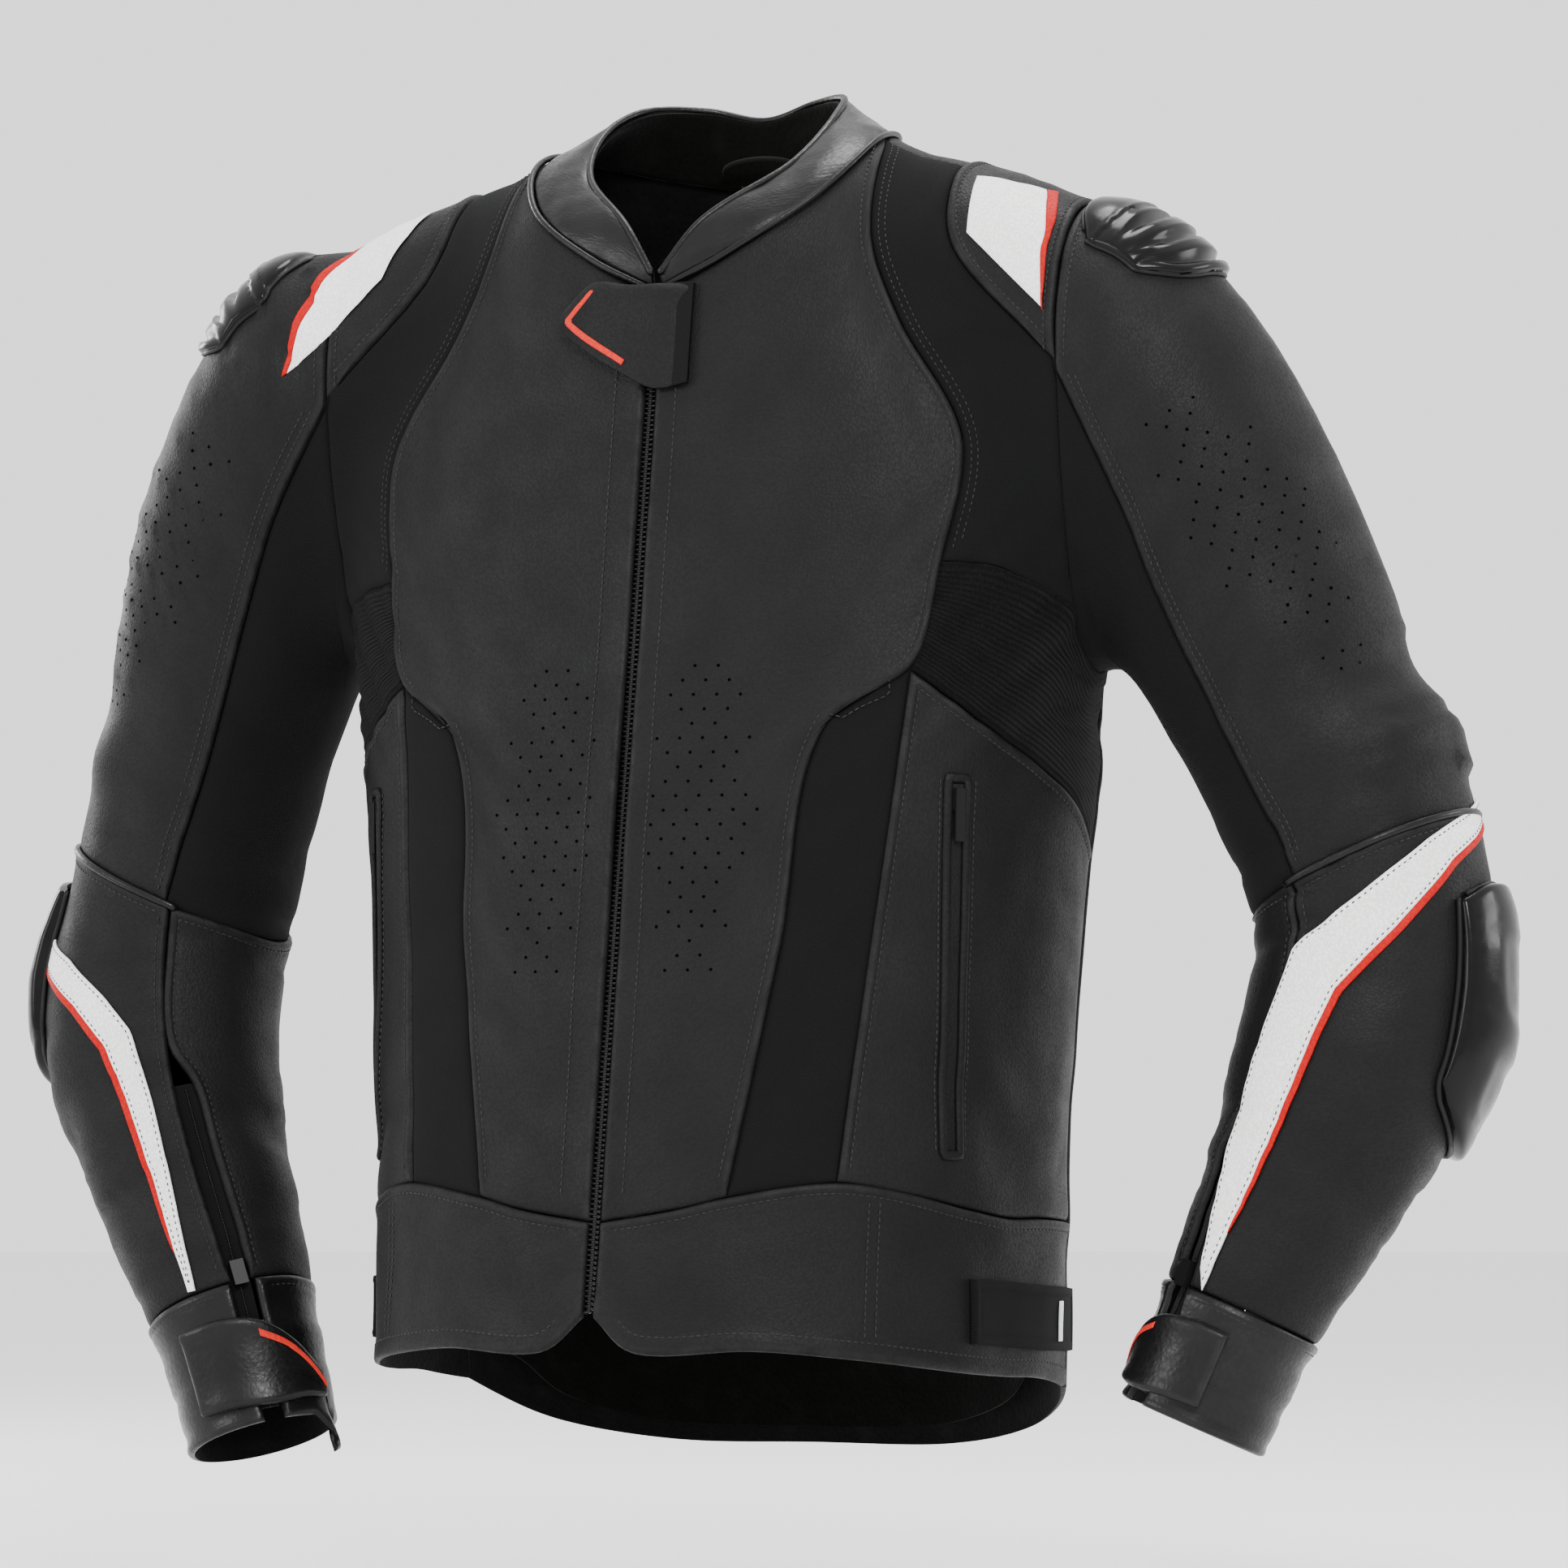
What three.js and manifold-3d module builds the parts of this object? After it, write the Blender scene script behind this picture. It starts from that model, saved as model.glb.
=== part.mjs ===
// Leather riding jacket, cut and sewn from separate panels, in millimetres.
// X is the wearer's left, -Y the front, +Z up; the origin is the centre of the neck opening.
import * as THREE from 'three';
import { mergeVertices } from 'three/addons/utils/BufferGeometryUtils.js';
import Module from 'manifold-3d';

const wasm = await Module();
wasm.setup();

// ---- driving dimensions -------------------------------------------------
const LEATHER = 2.4;          // outer shell thickness
const SEAM = 0.45;            // each panel stops this far short of the seam line
const REST = 0.4;             // gap between one layer and the next
const FACET = 4.4;            // room a pad leaves for the flat facets of the sleeve round it
const PAD = 8.6;              // limb and back armour thickness
const LINING_DEPTH = 14;      // outer face of the lining below the shell's outer face
const LINING = 2;
const CELL = 38;              // longest mesh cell
const FRONT_SLOPE = 0.161;    // the zip leans forward this much per mm downwards
const FRONT_Y = -79;          // centre front at FRONT_Z
const FRONT_Z = -60;
const ZIP_TOP = -77;
const ZIP_END = -580;
const ZIP_HALF_GAP = 4.6;     // from the centre line to the rolled leather edge
const TEETH_HALF_GAP = 0.8;
const FLAP_LIFT = 4.2;        // the neck flap stands clear of the zip's slider and pull
const SLIDER_LENGTH = 18;
const CUFF_ZIP_DEPTH = 4.2;   // outer face of the cuff zip's tape below the leather
const POCKET_DEPTH = 4.8;     // outer face of the pocket zip's tape below the leather
const ARMHOLE_X = 200;        // the sleeves are set in on this plane
const HEM_FRONT = -584;
const HEM_BACK = -652;
const BLEND = 42;             // how softly the sleeves run into the body
const ROUND = 2.35;           // superellipse power of the body's section

// body sections: height, half width, front depth, back depth
const BODY = [
  [-680, 166, -178.8, 136], [-588, 169, -164, 130], [-500, 172, -149.8, 126],
  [-400, 178, -133.7, 128], [-300, 189, -117.6, 134], [-220, 197, -104.8, 136],
  [-150, 190, -93.5, 128], [-100, 166, -85.4, 110], [-60, 134, -79, 90],
  [-20, 100, -72.6, 74], [20, 80, -66, 64], [60, 72, -60, 58],
];
// sleeve centre lines from the collar bone to the wrist: x, y, z, radius
const ARMS = {
  left: [
    [40, 14, -50, 50], [100, 14, -50, 54], [155, 14, -70, 60], [206, 16, -108, 66],
    [245, 22, -168, 67], [283, 26, -245, 66], [323, 26, -326, 62], [341, 22, -389, 59],
    [335, 10, -453, 59], [313, -4, -512, 49], [286, -18, -575, 41], [262, -28, -634, 37],
  ],
  right: [
    [-40, 14, -50, 50], [-100, 14, -50, 54], [-155, 14, -70, 60], [-206, 16, -108, 66],
    [-250, 20, -168, 66], [-284, 24, -241, 62], [-307, 26, -312, 60], [-320, 22, -375, 60],
    [-325, 12, -430, 62], [-311, 2, -487, 56], [-270, -16, -576, 44], [-244, -26, -648, 39],
  ],
};
const ELBOW = {
  left: { point: [322, -37, -366], tilt: [0.42, 0, -0.9075] },
  right: { point: [-310, -40, -366], tilt: [-0.42, 0, -0.9075] },
};
// collar from the centre front round to the centre back
const COLLAR_SEAM = [
  [2.6, -81, -70], [36, -69, -54], [70, -44, -30], [86, -2, 4], [78, 34, 10],
  [46, 60, 6], [0, 70, 1],
];
const COLLAR_EDGE = [
  [2.6, -83, -62], [20, -74, -36], [56, -38, -2], [64, 2, 28], [56, 34, 42],
  [30, 56, 43], [0, 63, 37],
];
const COLLAR_THICK = 3.6;

// ---- surface of the whole garment ----------------------------------------
const vec = (p) => new THREE.Vector3(...p);
const clamp = THREE.MathUtils.clamp;
const lerp = THREE.MathUtils.lerp;

function spline(rows, t) {
  const last = rows.length - 1;
  const key = rows.map((row) => row[0]);
  const at = clamp(t, key[0], key[last]);
  let i = 0;
  while (i < last - 1 && at > key[i + 1]) i += 1;
  const h = key[i + 1] - key[i];
  const u = (at - key[i]) / h;
  const slope = (j, c) => {
    const chord = (m) => (rows[m + 1][c] - rows[m][c]) / (key[m + 1] - key[m]);
    if (j === 0) return chord(0);
    if (j === last) return chord(last - 1);
    return (chord(j) + chord(j - 1)) / 2;
  };
  return rows[0].slice(1).map((_, n) => {
    const c = n + 1;
    return (1 + 2 * u) * (1 - u) ** 2 * rows[i][c] + u * (1 - u) ** 2 * h * slope(i, c)
      + u * u * (3 - 2 * u) * rows[i + 1][c] + u * u * (u - 1) * h * slope(i + 1, c);
  });
}

const CHAINS = Object.fromEntries(Object.entries(ARMS).map(([side, rows]) => {
  const keyed = rows.map((row, i) => [i, ...row]);
  const fine = [];
  for (let i = 0; i <= 44; i += 1) fine.push(spline(keyed, (i / 44) * (rows.length - 1)));
  return [side, { keyed, fine }];
}));

function bodyField(p) {
  const [a, front, back] = spline(BODY, p.z);
  const dy = p.y - 5;
  const b = dy < 0 ? 5 - front : back - 5;
  const reach = Math.hypot(p.x, dy) + 1e-9;
  const rho = ((Math.abs(p.x) / a) ** ROUND + (Math.abs(dy) / b) ** ROUND) ** (1 / ROUND) + 1e-9;
  return reach * (1 - 1 / rho);
}

function armField(p, side) {
  const line = CHAINS[side].fine;
  let best = 1e9;
  for (let i = 0; i < line.length - 1; i += 1) {
    const [x, y, z, r] = line[i];
    const dx = line[i + 1][0] - x;
    const dy = line[i + 1][1] - y;
    const dz = line[i + 1][2] - z;
    const along = ((p.x - x) * dx + (p.y - y) * dy + (p.z - z) * dz) / (dx * dx + dy * dy + dz * dz);
    const t = clamp(along, 0, 1);
    const gap = Math.hypot(p.x - x - t * dx, p.y - y - t * dy, p.z - z - t * dz);
    best = Math.min(best, gap - lerp(r, line[i + 1][3], t));
  }
  return best;
}

function smoothMin(a, b, k) {
  const h = clamp(0.5 + (0.5 * (b - a)) / k, 0, 1);
  return b * (1 - h) + a * h - k * h * (1 - h);
}

function field(p) {
  const side = p.x > 0 ? 'left' : 'right';
  const near = Math.abs(p.x) < 60 ? 0 : 1;
  const body = bodyField(p);
  if (!near) return smoothMin(smoothMin(body, armField(p, 'left'), BLEND), armField(p, 'right'), BLEND);
  return smoothMin(body, armField(p, side), BLEND);
}

function normalAt(p) {
  const e = 0.5;
  const g = ['x', 'y', 'z'].map((axis) => {
    const a = p.clone();
    const b = p.clone();
    a[axis] += e;
    b[axis] -= e;
    return (field(a) - field(b)) / (2 * e);
  });
  return vec(g);
}

function onShell(p) {
  const q = p.clone();
  for (let i = 0; i < 14; i += 1) {
    const g = normalAt(q);
    const step = clamp(field(q) / g.lengthSq(), -12, 12);
    q.addScaledVector(g, -step);
  }
  return q;
}

function cast(origin, direction, reach = 420) {
  const o = vec(origin);
  const d = vec(direction).normalize();
  let lo = 0;
  let hi = 0;
  while (hi < reach) {
    hi += 6;
    if (field(o.clone().addScaledVector(d, hi)) > 0) break;
    lo = hi;
  }
  for (let i = 0; i < 16; i += 1) {
    const mid = (lo + hi) / 2;
    if (field(o.clone().addScaledVector(d, mid)) > 0) hi = mid;
    else lo = mid;
  }
  return o.addScaledVector(d, (lo + hi) / 2);
}

// guide points on the shell, each for one side: k is 1 for the left and -1 for the right
const front = (k, x, z) => cast([k * x, 5, z], [0, -1, 0]);
const back = (k, x, z) => cast([k * x, 5, z], [0, 1, 0]);
const top = (k, x, y) => cast([k * x, y, -90], [0, 0, 1]);
const under = (k, x, y) => cast([k * x, y, -190], [0, 0, -1]);
const flank = (k, y, z) => cast([0, y, z], [k, 0, 0]);
const sideOf = (k) => (k > 0 ? 'left' : 'right');

// a point on a sleeve: station along the centre line and angle, 0 front, 90 outside, 180 back
function sleeve(k, station, angle) {
  const { keyed } = CHAINS[sideOf(k)];
  const centre = vec(spline(keyed, station).slice(0, 3));
  const ahead = vec(spline(keyed, Math.min(station + 0.05, 11)).slice(0, 3));
  const behind = vec(spline(keyed, station - 0.05).slice(0, 3));
  const along = ahead.sub(behind).normalize();
  const forward = new THREE.Vector3(0, -1, 0);
  forward.addScaledVector(along, -forward.dot(along)).normalize();
  const outward = new THREE.Vector3().crossVectors(forward, along).multiplyScalar(k);
  const a = THREE.MathUtils.degToRad(angle);
  const ray = forward.multiplyScalar(Math.cos(a)).addScaledVector(outward, Math.sin(a));
  return cast(centre.toArray(), ray.toArray(), 130);
}

// the line the collar is sewn to: t runs from 0 at the centre front to 1 at the centre back
function wholeCurve(half) {
  const mirrored = half.slice(0, -1).reverse().map((p) => new THREE.Vector3(-p.x, p.y, p.z));
  return new THREE.CatmullRomCurve3([...half, ...mirrored], false, 'centripetal');
}
const NECK_CURVE = wholeCurve(COLLAR_SEAM.map((p) => onShell(vec(p))));
const neck = (k, t) => NECK_CURVE.getPoint(k > 0 ? t / 2 : 1 - t / 2);
const NECK_LINE = NECK_CURVE.getPoints(240);
const onNeck = (p) => NECK_LINE.reduce((a, b) => (b.distanceTo(p) < a.distanceTo(p) ? b : a)).clone();

// ---- panels ----------------------------------------------------------------
function resample(line, count) {
  const lengths = [];
  for (let i = 1; i < line.length; i += 1) lengths.push(line[i].distanceTo(line[i - 1]));
  const total = lengths.reduce((a, b) => a + b, 0);
  const parts = lengths.map((l) => Math.max(1, Math.round((l / total) * count)));
  let extra = parts.reduce((a, b) => a + b, 0) - count;
  while (extra !== 0) {
    const step = Math.sign(extra);
    let pick = 0;
    let worst = -1e9;
    parts.forEach((n, i) => {
      if (step > 0 && n < 2) return;
      const score = step > 0 ? -lengths[i] / (n - 1) : lengths[i] / n;
      if (score > worst) {
        worst = score;
        pick = i;
      }
    });
    parts[pick] -= step;
    extra -= step;
  }
  const out = [line[0].clone()];
  parts.forEach((n, i) => {
    for (let j = 1; j <= n; j += 1) out.push(line[i].clone().lerp(line[i + 1], j / n));
  });
  return out;
}

const lengthOf = (line) => line.slice(1).reduce((sum, p, i) => sum + p.distanceTo(line[i]), 0);

function net(columns, cell = CELL, across = cell) {
  const longest = Math.max(...columns.map(lengthOf));
  const rows = Math.max(...columns.map((c) => c.length - 1), Math.round(longest / cell), 1);
  const lines = columns.map((c) => resample(c, rows));
  const grid = [lines[0]];
  for (let i = 1; i < lines.length; i += 1) {
    const widest = Math.max(...lines[i].map((p, r) => p.distanceTo(lines[i - 1][r])));
    const count = Math.max(1, Math.round(widest / across));
    for (let j = 1; j <= count; j += 1) {
      grid.push(lines[i].map((p, r) => lines[i - 1][r].clone().lerp(p, j / count)));
    }
  }
  return grid;
}

function inset(grid, gap) {
  const columns = grid.length;
  const rows = grid[0].length;
  const pull = (p, q) => p.clone().addScaledVector(q.clone().sub(p).normalize(), gap);
  let out = grid.map((line) => line.map((p, r) => {
    if (r === 0) return pull(p, line[1]);
    if (r === rows - 1) return pull(p, line[rows - 2]);
    return p;
  }));
  out = out.map((line, c) => line.map((p, r) => {
    if (c === 0) return pull(p, out[1][r]);
    if (c === columns - 1) return pull(p, out[columns - 2][r]);
    return p;
  }));
  return out;
}

function slab(outer, inner) {
  const columns = outer.length;
  const rows = outer[0].length;
  const points = [];
  [outer, inner].forEach((grid) => grid.forEach((line) => line.forEach((p) => points.push(p.x, p.y, p.z))));
  const id = (layer, c, r) => (layer * columns + c) * rows + r;
  const faces = [];
  const quad = (a, b, c, d) => faces.push(a, b, c, a, c, d);
  for (let c = 0; c < columns - 1; c += 1) {
    for (let r = 0; r < rows - 1; r += 1) {
      quad(id(0, c, r), id(0, c + 1, r), id(0, c + 1, r + 1), id(0, c, r + 1));
      quad(id(1, c, r), id(1, c, r + 1), id(1, c + 1, r + 1), id(1, c + 1, r));
    }
    quad(id(0, c, 0), id(1, c, 0), id(1, c + 1, 0), id(0, c + 1, 0));
    quad(id(0, c, rows - 1), id(0, c + 1, rows - 1), id(1, c + 1, rows - 1), id(1, c, rows - 1));
  }
  for (let r = 0; r < rows - 1; r += 1) {
    quad(id(0, 0, r), id(0, 0, r + 1), id(1, 0, r + 1), id(1, 0, r));
    quad(id(0, columns - 1, r), id(1, columns - 1, r), id(1, columns - 1, r + 1), id(0, columns - 1, r + 1));
  }
  const geometry = new THREE.BufferGeometry();
  geometry.setAttribute('position', new THREE.Float32BufferAttribute(points, 3));
  geometry.setIndex(faces);
  return outwards(geometry);
}

function outwards(geometry) {
  const p = geometry.getAttribute('position');
  const index = geometry.getIndex().array;
  const a = new THREE.Vector3();
  const b = new THREE.Vector3();
  const c = new THREE.Vector3();
  let volume = 0;
  for (let i = 0; i < index.length; i += 3) {
    a.fromBufferAttribute(p, index[i]);
    b.fromBufferAttribute(p, index[i + 1]);
    c.fromBufferAttribute(p, index[i + 2]);
    volume += a.dot(b.cross(c));
  }
  if (volume < 0) {
    for (let i = 0; i < index.length; i += 3) {
      [index[i], index[i + 1]] = [index[i + 1], index[i]];
    }
  }
  return geometry;
}

// one curved panel between depths below (-) or above (+) the shell's outer face;
// those that are sewn to the collar start on the neck line
function panel(columns, {
  from = 0, to = -LEATHER, gap = SEAM, cell = CELL, across = cell, atNeck = () => false,
} = {}) {
  const rough = net(columns, cell, across).map((line) => line.map(onShell));
  rough.forEach((line) => {
    if (atNeck(line[0])) line[0] = onNeck(line[0]);
  });
  const grid = inset(rough, gap).map((line) => line.map(onShell));
  const normals = grid.map((line) => line.map((p) => normalAt(p).normalize()));
  const lastColumn = grid.length - 1;
  const lastRow = grid[0].length - 1;
  const lift = (depth) => grid.map((line, c) => line.map((p, r) => {
    const height = typeof depth === 'function' ? depth(c / lastColumn, r / lastRow) : depth;
    return p.clone().addScaledVector(normals[c][r], height);
  }));
  return slab(lift(from), lift(to));
}

// a shallow dome over the unit square, flat at its rim
const dome = (u, v) => Math.abs(Math.sin(Math.PI * u) * Math.sin(Math.PI * v)) ** 0.6;

// ---- solids cut with manifold ------------------------------------------------
function toManifold(geometry) {
  let g = geometry.clone();
  g.deleteAttribute('normal');
  g.deleteAttribute('uv');
  g = mergeVertices(g, 1e-4);
  const mesh = new wasm.Mesh({
    numProp: 3,
    vertProperties: new Float32Array(g.getAttribute('position').array),
    triVerts: new Uint32Array(g.getIndex().array),
  });
  return new wasm.Manifold(mesh);
}

function fromManifold(solid) {
  const mesh = solid.getMesh();
  const geometry = new THREE.BufferGeometry();
  geometry.setAttribute('position', new THREE.Float32BufferAttribute(mesh.vertProperties, 3));
  geometry.setIndex([...mesh.triVerts]);
  return geometry;
}

// keeps the part of a solid on the side the direction points to
function keep(geometry, ...cuts) {
  let solid = toManifold(geometry);
  cuts.forEach(({ direction, point, gap = SEAM }) => {
    const n = vec(direction).normalize();
    solid = solid.trimByPlane(n.toArray(), n.dot(vec(point)) + gap);
  });
  return fromManifold(solid);
}

const bodySide = (k) => ({ direction: [-k, 0, 0], point: [k * ARMHOLE_X, 0, 0] });
const sleeveSide = (k) => ({ direction: [k, 0, 0], point: [k * ARMHOLE_X, 0, 0] });
const belowElbow = (k) => ({ direction: ELBOW[sideOf(k)].tilt, point: ELBOW[sideOf(k)].point });
const aboveElbow = (k) => ({
  direction: ELBOW[sideOf(k)].tilt.map((v) => -v),
  point: ELBOW[sideOf(k)].point,
});

// a flat outline in (x, y) drawn out along its own z, then placed with its x and z along the given axes
function bar(outline, length, origin, xAxis, zAxis) {
  const shape = new THREE.Shape(outline.map(([x, y]) => new THREE.Vector2(x, y)));
  const g = new THREE.ExtrudeGeometry(shape, { depth: length, bevelEnabled: false, curveSegments: 1 });
  const x = vec(xAxis).normalize();
  const z = vec(zAxis).normalize();
  x.addScaledVector(z, -x.dot(z)).normalize();
  const y = new THREE.Vector3().crossVectors(z, x);
  g.applyMatrix4(new THREE.Matrix4().makeBasis(x, y, z).setPosition(...origin));
  return g;
}

const box = (x0, x1, y0, y1) => [[x0, y0], [x1, y0], [x1, y1], [x0, y1]];

// ---- object -----------------------------------------------------------------
const jacket = new THREE.Group();
jacket.name = 'riding_jacket';

const FINISH = {
  leather: [0x2c2c2e, 0.55, 0], gloss: [0x262628, 0.35, 0], stretch: [0x1b1b1d, 0.9, 0],
  lining: [0x101012, 0.95, 0], plastic: [0x202022, 0.25, 0], metal: [0x3a3a3c, 0.4, 0.8],
  foam: [0x4a4a4c, 0.95, 0], tape: [0x141416, 0.9, 0], patch: [0xf0f0f0, 0.5, 0],
};

function add(name, geometry, finish) {
  const [color, roughness, metalness] = FINISH[finish];
  const mesh = new THREE.Mesh(geometry, new THREE.MeshStandardMaterial({ color, roughness, metalness }));
  mesh.name = name;
  geometry.computeVertexNormals();
  jacket.add(mesh);
}

// ---- body -----------------------------------------------------------------
const zipAt = (z, lift = 0) => [0, FRONT_Y + FRONT_SLOPE * (z - FRONT_Z) - lift, z + FRONT_SLOPE * lift];
const ZIP_DOWN = [0, -FRONT_SLOPE, -1];
const ZIP_ACROSS = [-1, 0, 0];
const SIDE_BACK = 47;         // the side seam lies this far behind the neck's centre

function collarGrid(inward, margin) {
  const lines = [NECK_CURVE, wholeCurve(COLLAR_EDGE.map(vec))];
  const grid = [];
  for (let i = 0; i <= 26; i += 1) {
    const low = lines[0].getPoint(i / 26);
    const high = lines[1].getPoint(i / 26);
    const rise = high.clone().sub(low);
    const flat = new THREE.Vector3(-low.x, 4 - low.y, 0).normalize();
    const inside = flat.addScaledVector(rise, -flat.dot(rise) / rise.lengthSq()).normalize();
    const step = margin / rise.length();
    grid.push([step, 0.5, 1].map((t) => low.clone().lerp(high, t).addScaledVector(inside, inward)));
  }
  return grid;
}

add('collar_shell', slab(collarGrid(0, 1.4), collarGrid(COLLAR_THICK, 1.4)), 'gloss');
add('collar_lining', slab(
  collarGrid(COLLAR_THICK + REST, 0.6),
  collarGrid(COLLAR_THICK + REST + LINING, 0.6),
), 'lining');

for (const k of [-1, 1]) {
  const side = sideOf(k);
  const F = (x, z) => front(k, x, z);
  const B = (x, z) => back(k, x, z);
  const T = (x, y) => top(k, x, y);
  const U = (x, y) => under(k, x, y);
  const S = (y, z) => flank(k, y, z);
  const A = (station, angle) => sleeve(k, station, angle);

  const N = (t) => neck(k, t);

  const chestEdge = [N(0.5), F(106, -49), F(123, -89), F(156, -149), F(150, -211), F(139, -263)];
  const shoulderLine = [T(136, -4), T(136, -22), F(143, -49), F(194, -106), F(204, -150),
    F(205, -211), U(205, -22)];
  const waistPoint = F(103, -288);

  add(`front_panel_${side}`, panel([
    [F(ZIP_HALF_GAP, -73), F(ZIP_HALF_GAP, -300), F(ZIP_HALF_GAP, -534)],
    [N(1 / 6), F(70, -160), F(54, -300), F(36, -529)],
    [N(1 / 3), F(118, -155), F(98, -262), F(84, -300), F(52, -526)],
    [...chestEdge, waistPoint, F(66, -522)],
  ], { across: 22, atNeck: (p) => Math.abs(p.x) > 8 }), 'leather');
  add(`front_stretch_${side}`, panel([
    [F(107, -291.5), F(67.5, -521.5)],
    [F(138, -265), F(114, -515)],
  ]), 'stretch');
  add(`shoulder_stretch_${side}`, keep(panel([
    chestEdge.slice(0, 5), shoulderLine,
  ]), bodySide(k)), 'stretch');
  add(`underarm_panel_${side}`, keep(panel([
    [chestEdge[4], chestEdge[5]],
    [onShell(chestEdge[4].clone().lerp(shoulderLine[6], 0.5)), F(168, -290)],
    [shoulderLine[6], S(-31, -308)],
    [U(205, 15), S(-3, -322)],
    [U(205, SIDE_BACK), S(SIDE_BACK, -350)],
  ]), bodySide(k)), 'stretch');

  const sideTop = [F(138, -265), F(168, -291), S(-31, -309), S(-3, -323), S(SIDE_BACK, -351)];
  const sideEnd = [F(114, -515), F(160, -528), S(-30, -533), S(-3, -533), S(SIDE_BACK, -535)];
  const pocketTop = F(158, -318);
  const pocketEnd = F(155, -502);
  const pocketDown = pocketEnd.clone().sub(pocketTop);
  const pocketOut = normalAt(F(157, -410)).normalize();
  const pocketAcross = new THREE.Vector3().crossVectors(pocketDown, pocketOut).normalize();
  const slot = bar(box(-4.6, 4.6, -20, 20), pocketDown.length(), pocketTop.toArray(),
    pocketAcross.toArray(), pocketDown.toArray());
  const sidePanel = toManifold(panel(sideTop.map((p, i) => [p, sideEnd[i]])));
  add(`side_panel_${side}`, fromManifold(sidePanel.subtract(toManifold(slot))), 'leather');
  add(`pocket_zip_${side}`, panel([
    [F(146, -311), F(143, -509)], [F(158, -311), F(155, -509)], [F(168, -311), F(166, -509)],
  ], { from: -POCKET_DEPTH, to: -POCKET_DEPTH - 1.2, gap: 0 }), 'tape');

  add(`waist_panel_${side}`, panel([
    [F(ZIP_HALF_GAP, -534), F(ZIP_HALF_GAP, HEM_FRONT)],
    [F(36, -529), F(24, -597)],
    [F(66, -522), F(80, -596)],
    [F(114, -515), F(120, -600)],
    [F(160, -528), F(158, -608)],
    [S(-30, -533), S(-30, -611)],
    [S(-3, -533), S(-3, -612)],
    [S(SIDE_BACK, -535), S(SIDE_BACK, -618)],
  ]), 'leather');

  add(`shoulder_panel_${side}`, keep(panel([
    [F(194, -106), F(143, -49), T(136, -22), T(136, -4), B(142, -40), B(192, -100)],
    [F(205, -114), F(205, -66), T(205, -15), T(205, 12), B(205, -58), B(205, -106)],
  ]), bodySide(k)), 'leather');

  // the zip: a row of teeth with its tape, straight down the front
  const teeth = [
    [TEETH_HALF_GAP, 1.2], [3.4, 1.2], [3.4, 3], [15, 3], [15, 4.2], [3.4, 4.2], [3.4, 5.2],
    [TEETH_HALF_GAP, 5.2],
  ].map(([x, y]) => [-k * x, y]);
  add(`main_zip_tape_${side}`, bar(teeth, ZIP_TOP - ZIP_END, zipAt(ZIP_TOP), ZIP_ACROSS, ZIP_DOWN), 'tape');

  // ---- waist strap with its hook-and-loop end
  add(`waist_strap_${side}`, panel([
    [F(160, -562), F(160, -594)], [S(-3, -566), S(-3, -598)], [S(48, -568), S(48, -600)],
  ], { from: REST + 2.2, to: REST, gap: 0, cell: 24 }), 'stretch');

  // ---- upper sleeve
  const frontSeam = [F(196, -112), A(4.3, -20), A(5.7, -24), A(7.2, -19)];
  const backSeam = [B(196, -108), A(4.3, 195), A(5.7, 195), A(7.2, 195)];
  add(`upper_sleeve_outer_${side}`, keep(panel([
    frontSeam,
    [F(196, -62), A(4, 20), A(5.5, 15), A(7.2, 15)],
    [T(196, -20), A(3.7, 60), A(5.5, 55), A(7.2, 55)],
    [T(196, 14), A(3.6, 90), A(5.5, 90), A(7.2, 90)],
    [T(196, 44), A(3.7, 122), A(5.5, 125), A(7.2, 125)],
    [B(196, -64), A(4, 158), A(5.5, 160), A(7.2, 160)],
    backSeam,
  ]), sleeveSide(k), aboveElbow(k)), 'leather');
  add(`upper_sleeve_inner_${side}`, keep(panel([
    frontSeam,
    [F(196, -168), A(4.8, -48), A(6, -48), A(7.2, -48)],
    [U(197, -34), A(5, -78), A(6, -80), A(7.2, -80)],
    [U(197, 15), A(5.1, -102), A(6, -108), A(7.2, -108)],
    [B(196, -176), A(4.8, -135), A(6, -136), A(7.2, -136)],
    backSeam,
  ]), sleeveSide(k), aboveElbow(k)), 'stretch');

  add(`shoulder_slider_${side}`, keep(panel([
    [A(2.45, 48), A(2.98, 48)], [A(2.3, 72), A(3.06, 72)], [A(2.3, 96), A(3.06, 96)], [A(2.45, 120), A(2.98, 120)],
  ], {
    from: (u, v) => REST + 2.8 + 6 * dome(u, v), to: REST + 0.8, gap: 0, cell: 16,
  }), sleeveSide(k)), 'plastic');
  add(`shoulder_armour_${side}`, keep(panel([
    [A(3.3, 30), A(4.6, 35)], [A(3.1, 60), A(4.8, 62)], [A(3.1, 90), A(4.8, 90)], [A(3.1, 120), A(4.8, 118)],
    [A(3.3, 150), A(4.6, 145)],
  ], {
    from: -LEATHER - FACET, to: -LEATHER - FACET - PAD + 1, gap: 0,
  }), { ...sleeveSide(k), gap: 3 }), 'foam');

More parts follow.
